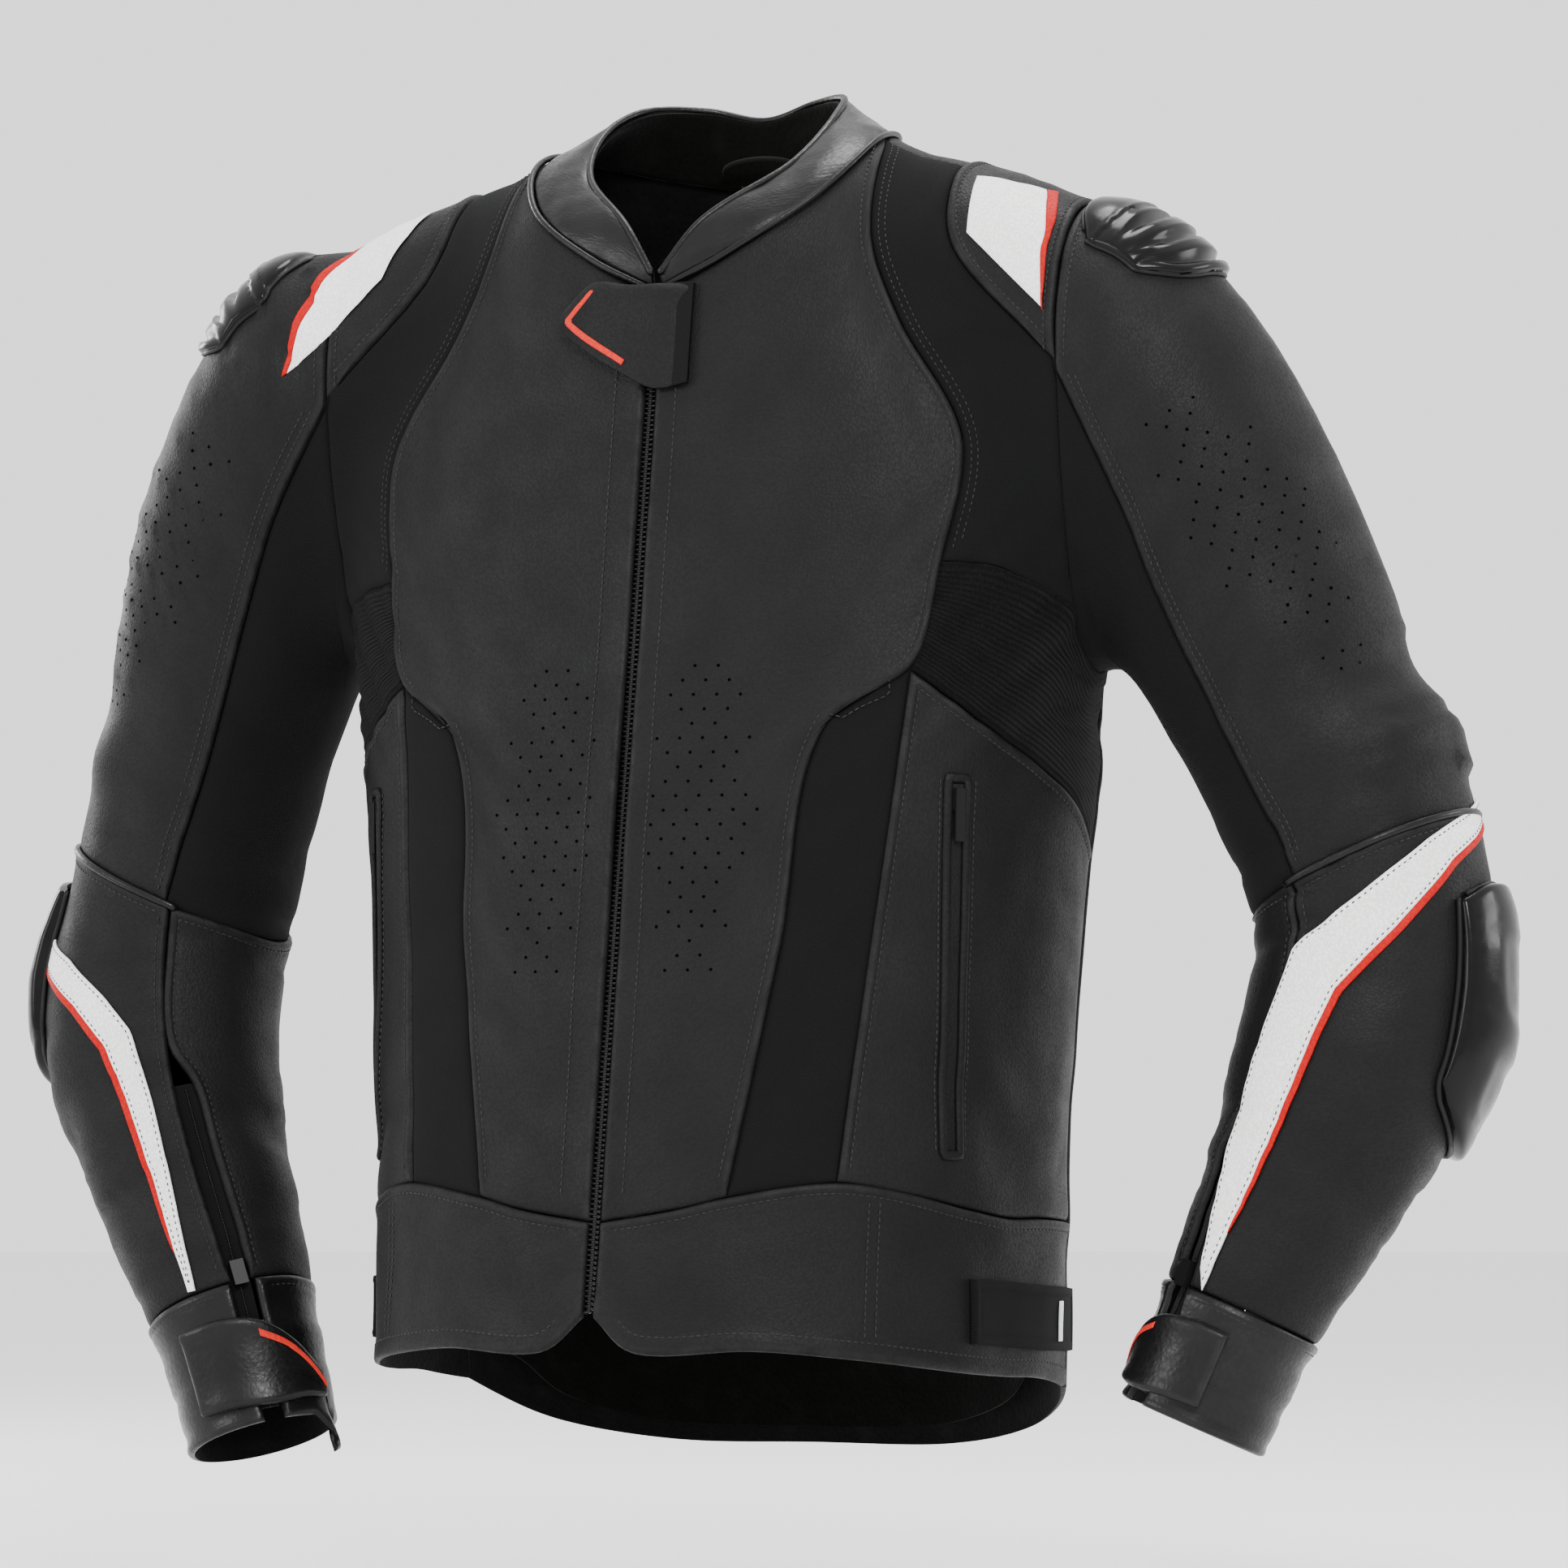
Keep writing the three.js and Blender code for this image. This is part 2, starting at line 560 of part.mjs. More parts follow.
  // ---- forearm
  const cuffTop = 10.05;
  const wrist = 11;
  const zipFront = [A(6.1, -19), A(8.6, -30), A(cuffTop, -30)];
  const zipRear = [A(6.1, -19), A(8.6, -30), A(8.9, -44), A(cuffTop, -46)];
  const rear = [A(6.1, 195), A(8.6, 195), A(cuffTop, 195)];
  const strip = (angle) => [A(6.1, angle), A(8.6, angle), A(cuffTop, angle)];
  add(`forearm_outer_${side}`, keep(panel([
    zipFront, strip(10), strip(42), strip(72), strip(102), strip(132), strip(162), rear,
  ]), belowElbow(k)), 'leather');
  add(`forearm_inner_${side}`, keep(panel([
    zipRear, strip(-80), strip(-110), strip(-138), rear,
  ]), belowElbow(k)), 'leather');
  add(`cuff_band_${side}`, panel([-31, 5, 40, 75, 110, 145, 180, 215, 250, 285, 313].map(
    (angle) => [A(cuffTop, angle), A(wrist, angle)],
  ), { gap: SEAM }), 'gloss');
  add(`cuff_zip_${side}`, panel([
    [A(8.95, -27), A(10.9, -27)], [A(8.95, -37), A(10.9, -38)], [A(8.95, -48), A(10.9, -49)],
  ], { from: -CUFF_ZIP_DEPTH, to: -CUFF_ZIP_DEPTH - 1.2, gap: 0, cell: 60 }), 'tape');
  add(`cuff_tab_${side}`, panel([
    [A(10.25, 15), A(10.85, 15)], [A(10.25, -15), A(10.85, -15)], [A(10.25, -45), A(10.85, -45)],
    [A(10.42, -72), A(10.72, -72)],
  ], { from: REST + 3.4, to: REST + 1.2, gap: 0, cell: 20 }), 'gloss');
  add(`elbow_slider_${side}`, keep(panel([
    [A(6.7, 62), A(8.25, 60)], [A(6.6, 85), A(8.4, 85)], [A(6.6, 110), A(8.45, 110)],
    [A(6.6, 135), A(8.4, 135)], [A(6.8, 160), A(8.2, 160)],
  ], {
    from: (u, v) => REST + 4.4 + 11 * dome(u, v), to: REST + 2, gap: 0, cell: 20,
  }), { ...belowElbow(k), gap: 3 }), 'plastic');
  add(`elbow_armour_${side}`, keep(panel([
    [A(6.7, 50), A(8.6, 50)], [A(6.6, 85), A(8.8, 85)], [A(6.6, 120), A(8.8, 120)],
    [A(6.6, 155), A(8.8, 155)], [A(6.7, 185), A(8.6, 185)],
  ], {
    from: -LEATHER - FACET - 1.05, to: -LEATHER - FACET - PAD, gap: 0,
  }), { ...belowElbow(k), gap: 3 }), 'foam');

  // ---- small sliders
  const cuffTopPoint = A(8.95, -37);
  const cuffEndPoint = A(10.1, -38);
  const cuffRun = cuffEndPoint.clone().sub(cuffTopPoint).normalize();
  const cuffOut = normalAt(A(9.6, -38)).normalize();
  const cuffAcross = new THREE.Vector3().crossVectors(cuffRun, cuffOut);
  add(`cuff_zip_slider_${side}`, bar(box(-3.6, 3.6, -1, CUFF_ZIP_DEPTH - 0.7), 13,
    cuffEndPoint.clone().addScaledVector(cuffRun, -15).toArray(),
    cuffAcross.toArray(), cuffRun.toArray()), 'metal');
  const pocketRun = pocketDown.clone().normalize();
  add(`pocket_slider_${side}`, bar(box(-3.6, 3.6, -1.2, POCKET_DEPTH - 0.6), 13,
    pocketTop.clone().addScaledVector(pocketRun, 3).toArray(),
    pocketAcross.toArray(), pocketRun.toArray()), 'metal');
  add(`pocket_pull_${side}`, bar(box(-2.6, 2.6, -3.1, -1.6), 26,
    pocketTop.clone().addScaledVector(pocketRun, 5).toArray(),
    pocketAcross.toArray(), pocketRun.toArray()), 'plastic');
}

// ---- back ------------------------------------------------------------------
function mirroredColumns(make) {
  const left = make(1);
  const right = make(-1).slice(1).reverse();
  return [...right, ...left];
}

add('back_yoke', keep(panel(mirroredColumns((k) => [
  [neck(k, 1), back(k, 0, -215)],
  [neck(k, 5 / 6), back(k, 62, -215)],
  [neck(k, 2 / 3), back(k, 118, -215)],
  [neck(k, 0.5), top(k, 112, 36), back(k, 136, -80), back(k, 156, -150), back(k, 160, -215)],
  [top(k, 136, -4), back(k, 142, -40), back(k, 192, -100), back(k, 205, -160), back(k, 205, -215)],
]), { cell: 50, across: 26, atNeck: (p) => Math.abs(p.x) < 100 }), bodySide(1), bodySide(-1)), 'leather');
add('back_stretch', keep(panel(mirroredColumns((k) => [
  [back(k, 0, -215), back(k, 0, -285)],
  [back(k, 80, -215), back(k, 80, -288)],
  [back(k, 160, -215), back(k, 150, -300)],
  [back(k, 205, -215), under(k, 205, SIDE_BACK)],
])), bodySide(1), bodySide(-1)), 'stretch');
add('back_panel', keep(panel(mirroredColumns((k) => [
  [back(k, 0, -285), back(k, 0, HEM_BACK)],
  [back(k, 80, -288), back(k, 80, HEM_BACK + 1)],
  [back(k, 150, -300), back(k, 134, HEM_BACK + 12)],
  [under(k, 205, SIDE_BACK), flank(k, SIDE_BACK, -350), flank(k, SIDE_BACK, -535), flank(k, SIDE_BACK, -618)],
]), { cell: 50 }), bodySide(1), bodySide(-1)), 'leather');

add('back_protector', panel([-90, -50, 0, 50, 90].map((x) => [
  back(1, x, -60 - Math.abs(x) * 0.4), back(1, x * 0.75, -500 + Math.abs(x) * 0.3),
]), { from: -LEATHER - REST - 1.1, to: -LINING_DEPTH + REST + 1.6, gap: 0, cell: 45 }), 'foam');

add('torso_lining', panel(mirroredColumns((k) => [
  [back(k, 0, -12), back(k, 0, HEM_BACK + 10)],
  [back(k, 70, -34), back(k, 80, HEM_BACK + 12)],
  [back(k, 130, -120), back(k, 130, HEM_BACK + 24)],
  [flank(k, 60, -310), flank(k, 60, -604)],
  [flank(k, -20, -310), flank(k, -20, -596)],
  [front(k, 140, -210), front(k, 130, -585)],
  [front(k, 90, -90), front(k, 80, -582)],
  [front(k, 18, -84), front(k, 18, -574)],
]), {
  from: -LINING_DEPTH, to: -LINING_DEPTH - LINING, gap: 0, cell: 80,
}), 'lining');

// ---- neck flap, zip slider and pull -------------------------------------------
add('neck_flap', panel([
  [front(1, 15, -72), front(1, 15, -119)],
  [front(1, 8, -72), front(1, 8, -120)],
  [front(1, -16, -72), front(1, -16, -111)],
  [front(1, -34, -72), front(1, -34, -100)],
  [front(1, -48, -84), front(1, -48, -90)],
], {
  from: (u) => (u > 0 ? FLAP_LIFT : REST) + LEATHER, to: (u) => (u > 0 ? FLAP_LIFT : REST), gap: 0, cell: 24,
}), 'leather');

const sliderTop = zipAt(ZIP_TOP - 6);
add('main_zip_slider', bar([
  [-5, -1.9], [5, -1.9], [5, -0.5], [0.5, -0.5], [0.5, 5.6], [4.4, 5.6], [4.4, 7], [-4.4, 7], [-4.4, 5.6],
  [-0.5, 5.6], [-0.5, -0.5], [-5, -0.5],
], SLIDER_LENGTH, sliderTop, ZIP_ACROSS, ZIP_DOWN), 'metal');
add('main_zip_pull', bar(box(-3.2, 3.2, -3.6, -2.2), 30, zipAt(ZIP_TOP - 12), ZIP_ACROSS, ZIP_DOWN), 'metal');

// ---- hanger loop and the flat tape of the trouser connector ----------------------
add('hanger_loop', bar([
  [-24, -1], [24, -1], [24, 1], [20, 1], [18, 7], [-18, 7], [-20, 1], [-24, 1],
], 5, [0, 57.5, 13], [1, 0, 0], [0, 0, -1]), 'tape');
const connectorY = back(1, 45, -575).y - LINING_DEPTH - LINING - REST;
add('connector_zip', bar(box(-45, 45, 3.2, 4.8), 16, [0, connectorY, -567], [1, 0, 0], [0, 0, -1]), 'tape');

export default jacket;
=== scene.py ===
import math
from types import SimpleNamespace

import bpy
import numpy as np
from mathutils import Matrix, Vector


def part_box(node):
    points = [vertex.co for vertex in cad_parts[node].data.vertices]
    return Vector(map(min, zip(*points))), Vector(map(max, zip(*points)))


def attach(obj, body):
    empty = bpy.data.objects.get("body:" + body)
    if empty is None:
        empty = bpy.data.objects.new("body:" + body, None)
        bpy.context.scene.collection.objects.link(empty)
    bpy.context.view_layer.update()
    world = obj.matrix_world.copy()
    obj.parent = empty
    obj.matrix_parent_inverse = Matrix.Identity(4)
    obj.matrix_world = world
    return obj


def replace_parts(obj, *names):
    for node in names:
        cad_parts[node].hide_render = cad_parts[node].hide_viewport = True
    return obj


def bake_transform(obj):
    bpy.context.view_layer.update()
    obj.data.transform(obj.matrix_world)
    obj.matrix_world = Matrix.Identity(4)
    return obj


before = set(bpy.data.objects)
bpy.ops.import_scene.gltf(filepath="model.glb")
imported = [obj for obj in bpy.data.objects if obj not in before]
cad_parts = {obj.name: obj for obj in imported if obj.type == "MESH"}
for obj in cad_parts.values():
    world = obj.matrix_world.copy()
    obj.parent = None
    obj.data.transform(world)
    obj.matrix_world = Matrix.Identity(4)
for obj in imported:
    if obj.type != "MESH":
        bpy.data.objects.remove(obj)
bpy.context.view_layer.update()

SIDES = {"left": 1, "right": -1}
ARMHOLE = 200          # the armholes lie in two planes this far from the middle
SHOULDER_END = 256     # where a sleeve top's span towards the upper sleeve ends
ELBOW_BEND = 50        # distance above the elbow at which the lower sleeve's span starts
SPLIT_ABOVE_ELBOW = 58  # the upper sleeve is made in two pieces that meet here
ZIP_EDGE = 2.6         # the front panels stop this far from the middle
ZIP_TOP, ZIP_END, TOOTH_PITCH = -77, -578, 2.5
ZIP_LEAN = 0.161       # how far the front goes back for each unit down
FLOOR = -0.735         # metres, just under the hem

# ---- surface of the whole garment, the same as the CAD model's
BODY = np.array([
    [-680, 166, -178.8, 136], [-588, 169, -164, 130], [-500, 172, -149.8, 126],
    [-400, 178, -133.7, 128], [-300, 189, -117.6, 134], [-220, 197, -104.8, 136],
    [-150, 190, -93.5, 128], [-100, 166, -85.4, 110], [-60, 134, -79, 90],
    [-20, 100, -72.6, 74], [20, 80, -66, 64], [60, 72, -60, 58],
], float)
ARMS = {
    "left": [
        [40, 14, -50, 50], [100, 14, -50, 54], [155, 14, -70, 60], [206, 16, -108, 66],
        [245, 22, -168, 67], [283, 26, -245, 66], [323, 26, -326, 62], [341, 22, -389, 59],
        [335, 10, -453, 59], [313, -4, -512, 49], [286, -18, -575, 41], [262, -28, -634, 37],
    ],
    "right": [
        [-40, 14, -50, 50], [-100, 14, -50, 54], [-155, 14, -70, 60], [-206, 16, -108, 66],
        [-250, 20, -168, 66], [-284, 24, -241, 62], [-307, 26, -312, 60], [-320, 22, -375, 60],
        [-325, 12, -430, 62], [-311, 2, -487, 56], [-270, -16, -576, 44], [-244, -26, -648, 39],
    ],
}
ELBOW = {"left": ([322, -37, -366], [0.42, 0, -0.9075]), "right": ([-310, -40, -366], [-0.42, 0, -0.9075])}
COLLAR_SEAM = [
    [2.6, -81, -70], [36, -69, -54], [70, -44, -30], [86, -2, 4], [78, 34, 10], [46, 60, 6], [0, 70, 1],
]
COLLAR_EDGE = [
    [2.6, -83, -62], [20, -74, -36], [56, -38, -2], [64, 2, 28], [56, 34, 42], [30, 56, 43], [0, 63, 37],
]


def spline(rows, t):
    """The smooth curve through rows of (key, values...) at the keys t."""
    x, y = rows[:, 0], rows[:, 1:]
    chord = np.diff(y, axis=0) / np.diff(x)[:, None]
    slope = np.vstack([chord[:1], (chord[1:] + chord[:-1]) / 2, chord[-1:]])
    t = np.clip(np.asarray(t, float), x[0], x[-1])
    i = np.clip(np.searchsorted(x, t, side="right") - 1, 0, len(x) - 2)
    h = (x[i + 1] - x[i])[..., None]
    u = (t - x[i])[..., None] / h
    return ((1 + 2 * u) * (1 - u) ** 2 * y[i] + u * (1 - u) ** 2 * h * slope[i]
            + u * u * (3 - 2 * u) * y[i + 1] + u * u * (u - 1) * h * slope[i + 1])


STATIONS = {s: np.c_[np.arange(len(rows)), np.array(rows, float)] for s, rows in ARMS.items()}
CHAIN = {s: spline(rows, np.linspace(0, 11, 45)) for s, rows in STATIONS.items()}


def arm_near(p, side):
    """Distance outside a sleeve's envelope, and the station along it, of each point."""
    c = CHAIN[side]
    start, d, r, dr = c[:-1, :3], np.diff(c[:, :3], axis=0), c[:-1, 3], np.diff(c[:, 3])
    gaps, stations = [], []
    for i in range(0, len(p), 4000):
        q = p[i:i + 4000, None] - start
        t = np.clip((q * d).sum(-1) / (d * d).sum(-1), 0, 1)
        gap = np.linalg.norm(q - t[..., None] * d, axis=-1) - r - t * dr
        best = gap.argmin(1)
        rows = np.arange(len(best))
        gaps.append(gap[rows, best])
        stations.append((best + t[rows, best]) / 4)
    return np.concatenate(gaps), np.concatenate(stations)


def field(p):
    """Signed height over the garment surface: below 0 inside, above 0 outside."""
    shape = spline(BODY, p[:, 2])
    dy = p[:, 1] - 5
    b = np.where(dy < 0, 5 - shape[:, 1], shape[:, 2] - 5)
    rho = ((np.abs(p[:, 0]) / shape[:, 0]) ** 2.35 + (np.abs(dy) / b) ** 2.35) ** (1 / 2.35) + 1e-9
    body = (np.hypot(p[:, 0], dy) + 1e-9) * (1 - 1 / rho)
    arm = np.empty(len(p))
    left = p[:, 0] > 0
    for side, pick in (("left", left), ("right", ~left)):
        if pick.any():
            arm[pick] = arm_near(p[pick], side)[0]
    h = np.clip(0.5 + 0.5 * (arm - body) / 42, 0, 1)
    return arm * (1 - h) + body * h - 42 * h * (1 - h)


def gradient(p):
    """The field's slope at each point, by differences."""
    g = np.empty_like(p)
    for i in range(3):
        e = np.zeros(3)
        e[i] = 0.5
        g[:, i] = field(p + e) - field(p - e)
    return g


def on_shell(p, steps=4):
    """The points moved onto the garment surface."""
    q = np.array(p, float).reshape(-1, 3)
    for _ in range(steps):
        g = gradient(q)
        q = q - g * np.clip(field(q) / (g * g).sum(1), -12, 12)[:, None]
    return q.reshape(np.shape(p))


def normals_at(p):
    """The outward direction at each point."""
    g = gradient(np.array(p, float).reshape(-1, 3))
    return (g / np.linalg.norm(g, axis=1, keepdims=True)).reshape(np.shape(p))


def cast(origin, direction, reach=420):
    """Where a ray from inside the garment comes out of it."""
    o, d = np.array(origin, float), np.array(direction, float)
    d /= np.linalg.norm(d)
    t = np.arange(0, reach, 6.0)
    out = np.nonzero(field(o + t[:, None] * d) > 0)[0]
    hi = t[out[0]] if len(out) else reach
    lo = max(hi - 6, 0)
    for _ in range(14):
        mid = (lo + hi) / 2
        if field((o + mid * d)[None])[0] > 0:
            hi = mid
        else:
            lo = mid
    return o + d * (lo + hi) / 2


def sleeve(k, station, angle):
    """A point on a sleeve: angle 0 is its front, 90 its outside and 180 its back."""
    rows = STATIONS["left" if k > 0 else "right"]
    centre = spline(rows, station)[:3]
    along = spline(rows, min(station + 0.05, 11))[:3] - spline(rows, station - 0.05)[:3]
    along /= np.linalg.norm(along)
    forward = np.array([0, -1.0, 0])
    forward -= forward @ along * along
    forward /= np.linalg.norm(forward)
    outward = np.cross(forward, along) * k
    a = math.radians(angle)
    return cast(centre, forward * math.cos(a) + outward * math.sin(a), 130)


# ---- lines
def lengths_of(line):
    """Distance run along a polyline at each of its points."""
    return np.r_[0, np.cumsum(np.linalg.norm(np.diff(line, axis=0), axis=1))]


def sample(line, at):
    """Points of a polyline at the distances given."""
    s = lengths_of(line)
    return np.stack([np.interp(at, s, line[:, i]) for i in range(3)], -1)


def even(line, step):
    """A polyline with its points about that far apart."""
    total = lengths_of(line)[-1]
    return sample(line, np.linspace(0, total, max(2, int(round(total / step)) + 1)))


class Seam:
    """A rounded line through guide points, lying on the shell."""

    def __init__(self, *points, shell=True):
        p = np.array(points, float)
        key = lengths_of(p)
        t, self.at = [], []
        for a, b in zip(key, key[1:]):
            self.at.append(len(t))
            t += list(np.linspace(a, b, max(3, int((b - a) / 4)), endpoint=False))
        self.at.append(len(t))
        dense = spline(np.c_[key, p], np.array([*t, key[-1]]))
        self.line = on_shell(dense, 3) if shell else dense

    def part(self, i, j):
        return self.line[self.at[i]:self.at[j] + 1]


def line(*points):
    """A smooth line through guide points, on the shell."""
    return Seam(*points).line


def tangents(path, closed=False):
    t = np.gradient(path, axis=0)
    if closed:
        t = np.roll(path, -1, 0) - np.roll(path, 1, 0)
    return t / np.maximum(np.linalg.norm(t, axis=1, keepdims=True), 1e-9)


def near_line(p, path):
    """Distance from each point to a polyline."""
    start, d = path[:-1], np.diff(path, axis=0)
    out = []
    for i in range(0, len(p), 2000):
        q = p[i:i + 2000, None] - start
        t = np.clip((q * d).sum(-1) / np.maximum((d * d).sum(-1), 1e-9), 0, 1)
        out.append(np.linalg.norm(q - t[..., None] * d, axis=-1).min(1))
    return np.concatenate(out)


# ---- how the leather lies
def ripple(p, length, seed):
    """Smooth seeded noise of about that wavelength, from -1 to 1."""
    rng = np.random.default_rng(seed)
    total = 0
    for _ in range(6):
        d = rng.normal(size=3)
        d *= 2 * math.pi / (np.linalg.norm(d) * length * rng.uniform(0.7, 1.5))
        total = total + np.sin(p @ d + rng.uniform(0, 6.28))
    return total / 3.2


def step(x, a, b):
    t = np.clip((x - a) / (b - a), 0, 1)
    return t * t * (3 - 2 * t)


def bump(x, centre, width):
    return np.exp(-(((x - centre) / width) ** 2))


def crease(phase):
    """A row of rounded folds with narrow valleys, from -1 to 0.4."""
    return 0.4 - 1.4 * np.abs(np.cos(phase / 2)) ** 5


def drape(p):
    """How far the cloth stands off the plain shell."""
    shape = p.shape
    p = p.reshape(-1, 3)
    x, y, z = p.T
    out = 0.8 * ripple(p, 160, 1) + 0.45 * ripple(p, 70, 2) + 0.16 * ripple(p, 30, 3)
    for side, k in SIDES.items():
        pick = (k * x > 150) & (z < 10)
        if not pick.any():
            continue
        q = p[pick]
        _, s = arm_near(q, side)
        centre = spline(STATIONS[side], s)
        front = -(q[:, 1] - centre[:, 1]) / centre[:, 3]
        outer = k * (q[:, 0] - centre[:, 0]) / centre[:, 3]
        on_arm = step(k * q[:, 0], 196, 232)
        inner = step(-outer * 0.7 + front * 0.6, -0.2, 0.7)
        slant = s * 62 + 16 * outer + 6 * ripple(q, 60, 7 + k)
        elbow = bump(s, 6.75, 0.75) * inner * crease(slant / 17 * math.pi)
        bicep = bump(s, 4.9, 1.2) * inner * crease((slant + 24 * outer) / 31 * math.pi)
        wrist = bump(s, 9.35, 0.8) * crease((s * 62 - 12 * front) / 19 * math.pi)
        back = bump(s, 8.9, 0.7) * step(outer, 0.1, 0.8) * crease((s * 60 + 10 * front) / 13 * math.pi)
        fuller = (23 if k < 0 else 9) * (1 - step(s, 2.9, 6.3)) * step(0.92 * outer + 0.38 * front, 0, 1)
        push = step(outer, 0, 0.8) * (7 * bump(s, 5.9, 0.2) - 5 * bump(s, 5.48, 0.22)) * (1 if k > 0 else 0.4)
        out[pick] += on_arm * (1.9 * elbow + 1.1 * bicep + 0.8 * wrist + 1.2 * back + fuller + push)
    side_fold = step(np.abs(x), 118, 160) * (1 - step(np.abs(x), 196, 214))
    armpit = bump(z, -250, 62) * side_fold * crease((z - np.abs(x) * 1.25) / 13 * math.pi)
    out += 1.5 * armpit
    out += 6 * step(x, 110, 160) * (1 - step(x, 196, 212)) * step(y, -50, 15) * step(-z, 250, 320)
    waist = bump(z, -500, 60) * step(np.abs(x), 30, 90)
    out += 1.0 * waist * np.sin(z / 15 + 2 * ripple(p, 90, 5))
    chest = step(-y, 40, 90) * bump(z, -330, 190)
    out += 0.7 * chest * np.sin(x / 19 + 1.6 * ripple(p, 140, 6))
    return out.reshape(shape[:-1])


# height of the leather beside a seam, against the distance from it
PROFILES = {
    "fold": [(0, -1.7), (0.6, 0.15), (1.4, 0.85), (2.8, 1.05), (4.0, 0.85), (4.9, 0.2), (5.7, 0.1), (7, 0.35),
             (9, 0.12), (12, 0)],
    "tuck": [(0, -1.9), (0.6, -1.2), (1.4, -0.7), (2.8, -0.35), (4.6, -0.12), (8, 0)],
    "roll": [(0, -1.6), (0.5, -0.2), (1.2, 0.6), (2.4, 1.1), (4, 1.1), (6.5, 0.6), (10, 0.1), (13, 0)],
    "hem": [(0, -1.5), (0.5, 0), (1.2, 0.7), (2.6, 0.9), (5, 0.8), (7.6, 0.7), (8.6, 0.1), (9.6, 0.25),
            (12, 0)],
    "thin": [(0, -0.5), (0.35, -0.12), (0.8, 0), (2, 0)],
    "open": [(0, 0), (3, 0)],
}
ROWS_AT = {
    "fold": [0, 0.6, 1.4, 2.8, 4.0, 4.9, 5.7, 7.2, 10], "tuck": [0, 0.6, 1.4, 2.8, 5],
    "roll": [0, 0.5, 1.2, 2.4, 4, 6.5, 10], "hem": [0, 0.5, 1.2, 2.6, 5, 7.6, 8.6, 9.6, 12],
    "thin": [0, 0.35, 0.8, 2], "open": [0],
}
STITCHES_AT = {"fold": [5.3], "hem": [8.6], "roll": [], "tuck": [], "thin": [], "open": []}
THIN, TUCKED = ("thin",) * 4, ("tuck",) * 4
SLAB = 2.0


def marks(total, first, last, cells):
    """Where the rows of a grid lie between two sewn edges."""
    a, b = np.array(ROWS_AT[first]), np.array(ROWS_AT[last])
    if a[-1] + b[-1] > 0.8 * total:
        shrink = 0.8 * total / (a[-1] + b[-1])
        a, b = a * shrink, b * shrink
    middle = np.linspace(a[-1], total - b[-1], cells + 1)[1:-1]
    return np.r_[a, middle, total - b[::-1]]


def grid_of(columns, edges, cell):
    """A fine grid of points between the columns, closer together along the sewn edges."""
    totals = [lengths_of(c)[-1] for c in columns]
    cells = max(1, int(round((np.mean(totals) - ROWS_AT[edges[2]][-1] - ROWS_AT[edges[3]][-1]) / cell)))
    cols = np.array([sample(c, marks(t, edges[2], edges[3], cells)) for c, t in zip(columns, totals)])
    gaps = np.linalg.norm(np.diff(cols, axis=0), axis=2).mean(1)
    key = np.r_[0, np.cumsum(np.maximum(gaps, 1))]
    rows = cols.shape[1]
    fine = np.linspace(0, key[-1], max(8, int(key[-1] / 5)))
    fine = np.unique(np.r_[fine, key])
    dense = spline(np.c_[key, cols.reshape(len(cols), -1)], fine).reshape(len(fine), rows, 3)
    dense = on_shell(dense, 2)
    width = np.linalg.norm(np.diff(dense, axis=0), axis=2).sum(0)
    cells = max(1, int(round((width.mean() - ROWS_AT[edges[0]][-1] - ROWS_AT[edges[1]][-1]) / cell)))
    grid = np.stack([sample(dense[:, r], marks(width[r], edges[0], edges[1], cells)) for r in range(rows)], 1)
    grid = on_shell(grid, 2)
    return grid if set(edges) == {"thin"} else meet_at_armhole(grid)


def meet_at_armhole(grid):
    """Brings the edges that run round an armhole onto its own plane."""
    near, lowest, upright, fade = 8, -60, 0.4, 16
    for view in (grid, grid[::-1], grid.transpose(1, 0, 2), grid.transpose(1, 0, 2)[::-1]):
        rim = view[0].copy()
        off = np.abs(np.abs(rim[:, 0]) - ARMHOLE)
        flat = np.abs(tangents(rim)[:, 0]) < upright
        pick = (off < near) & flat & (rim[:, 2] < lowest)
        if pick.sum() < 4:
            continue
        moved = rim.copy()
        for _ in range(5):
            moved[:, 0] = np.sign(rim[:, 0]) * ARMHOLE
            g = gradient(moved)
            g[:, 0] = 0
            moved -= g * (field(moved) / np.maximum((g * g).sum(1), 1e-6))[:, None]
        ease = np.where(pick, 1.0, 0.0)
        ease = np.convolve(np.r_[[ease[0]] * 2, ease, [ease[-1]] * 2], np.ones(5) / 5, "valid") * pick
        away = np.linalg.norm(view - rim[None], axis=2)
        view += (moved - rim)[None] * ease[None, :, None] * np.clip(1 - away / fade, 0, 1)[..., None]
    return grid


def flat_uv(grid, seed):
    """Texture places in metres, measured over the cloth."""
    across = np.linalg.norm(np.diff(grid, axis=0), axis=2)
    u = np.vstack([np.zeros(grid.shape[1]), np.cumsum(across, 0)])
    u -= u[len(u) // 2]
    down = np.linalg.norm(np.diff(grid, axis=1), axis=2)
    v = np.hstack([np.zeros((len(grid), 1)), np.cumsum(down, 1)])
    v = np.broadcast_to(v[len(v) // 2], v.shape)
    rng = np.random.default_rng(seed)
    return np.stack([u / 1000 + rng.uniform(0, 3), v / 1000 + rng.uniform(0, 3)], -1)


# ---- meshes
def seed_of(name):
    return sum(ord(c) * (i + 3) for i, c in enumerate(name)) % 9973


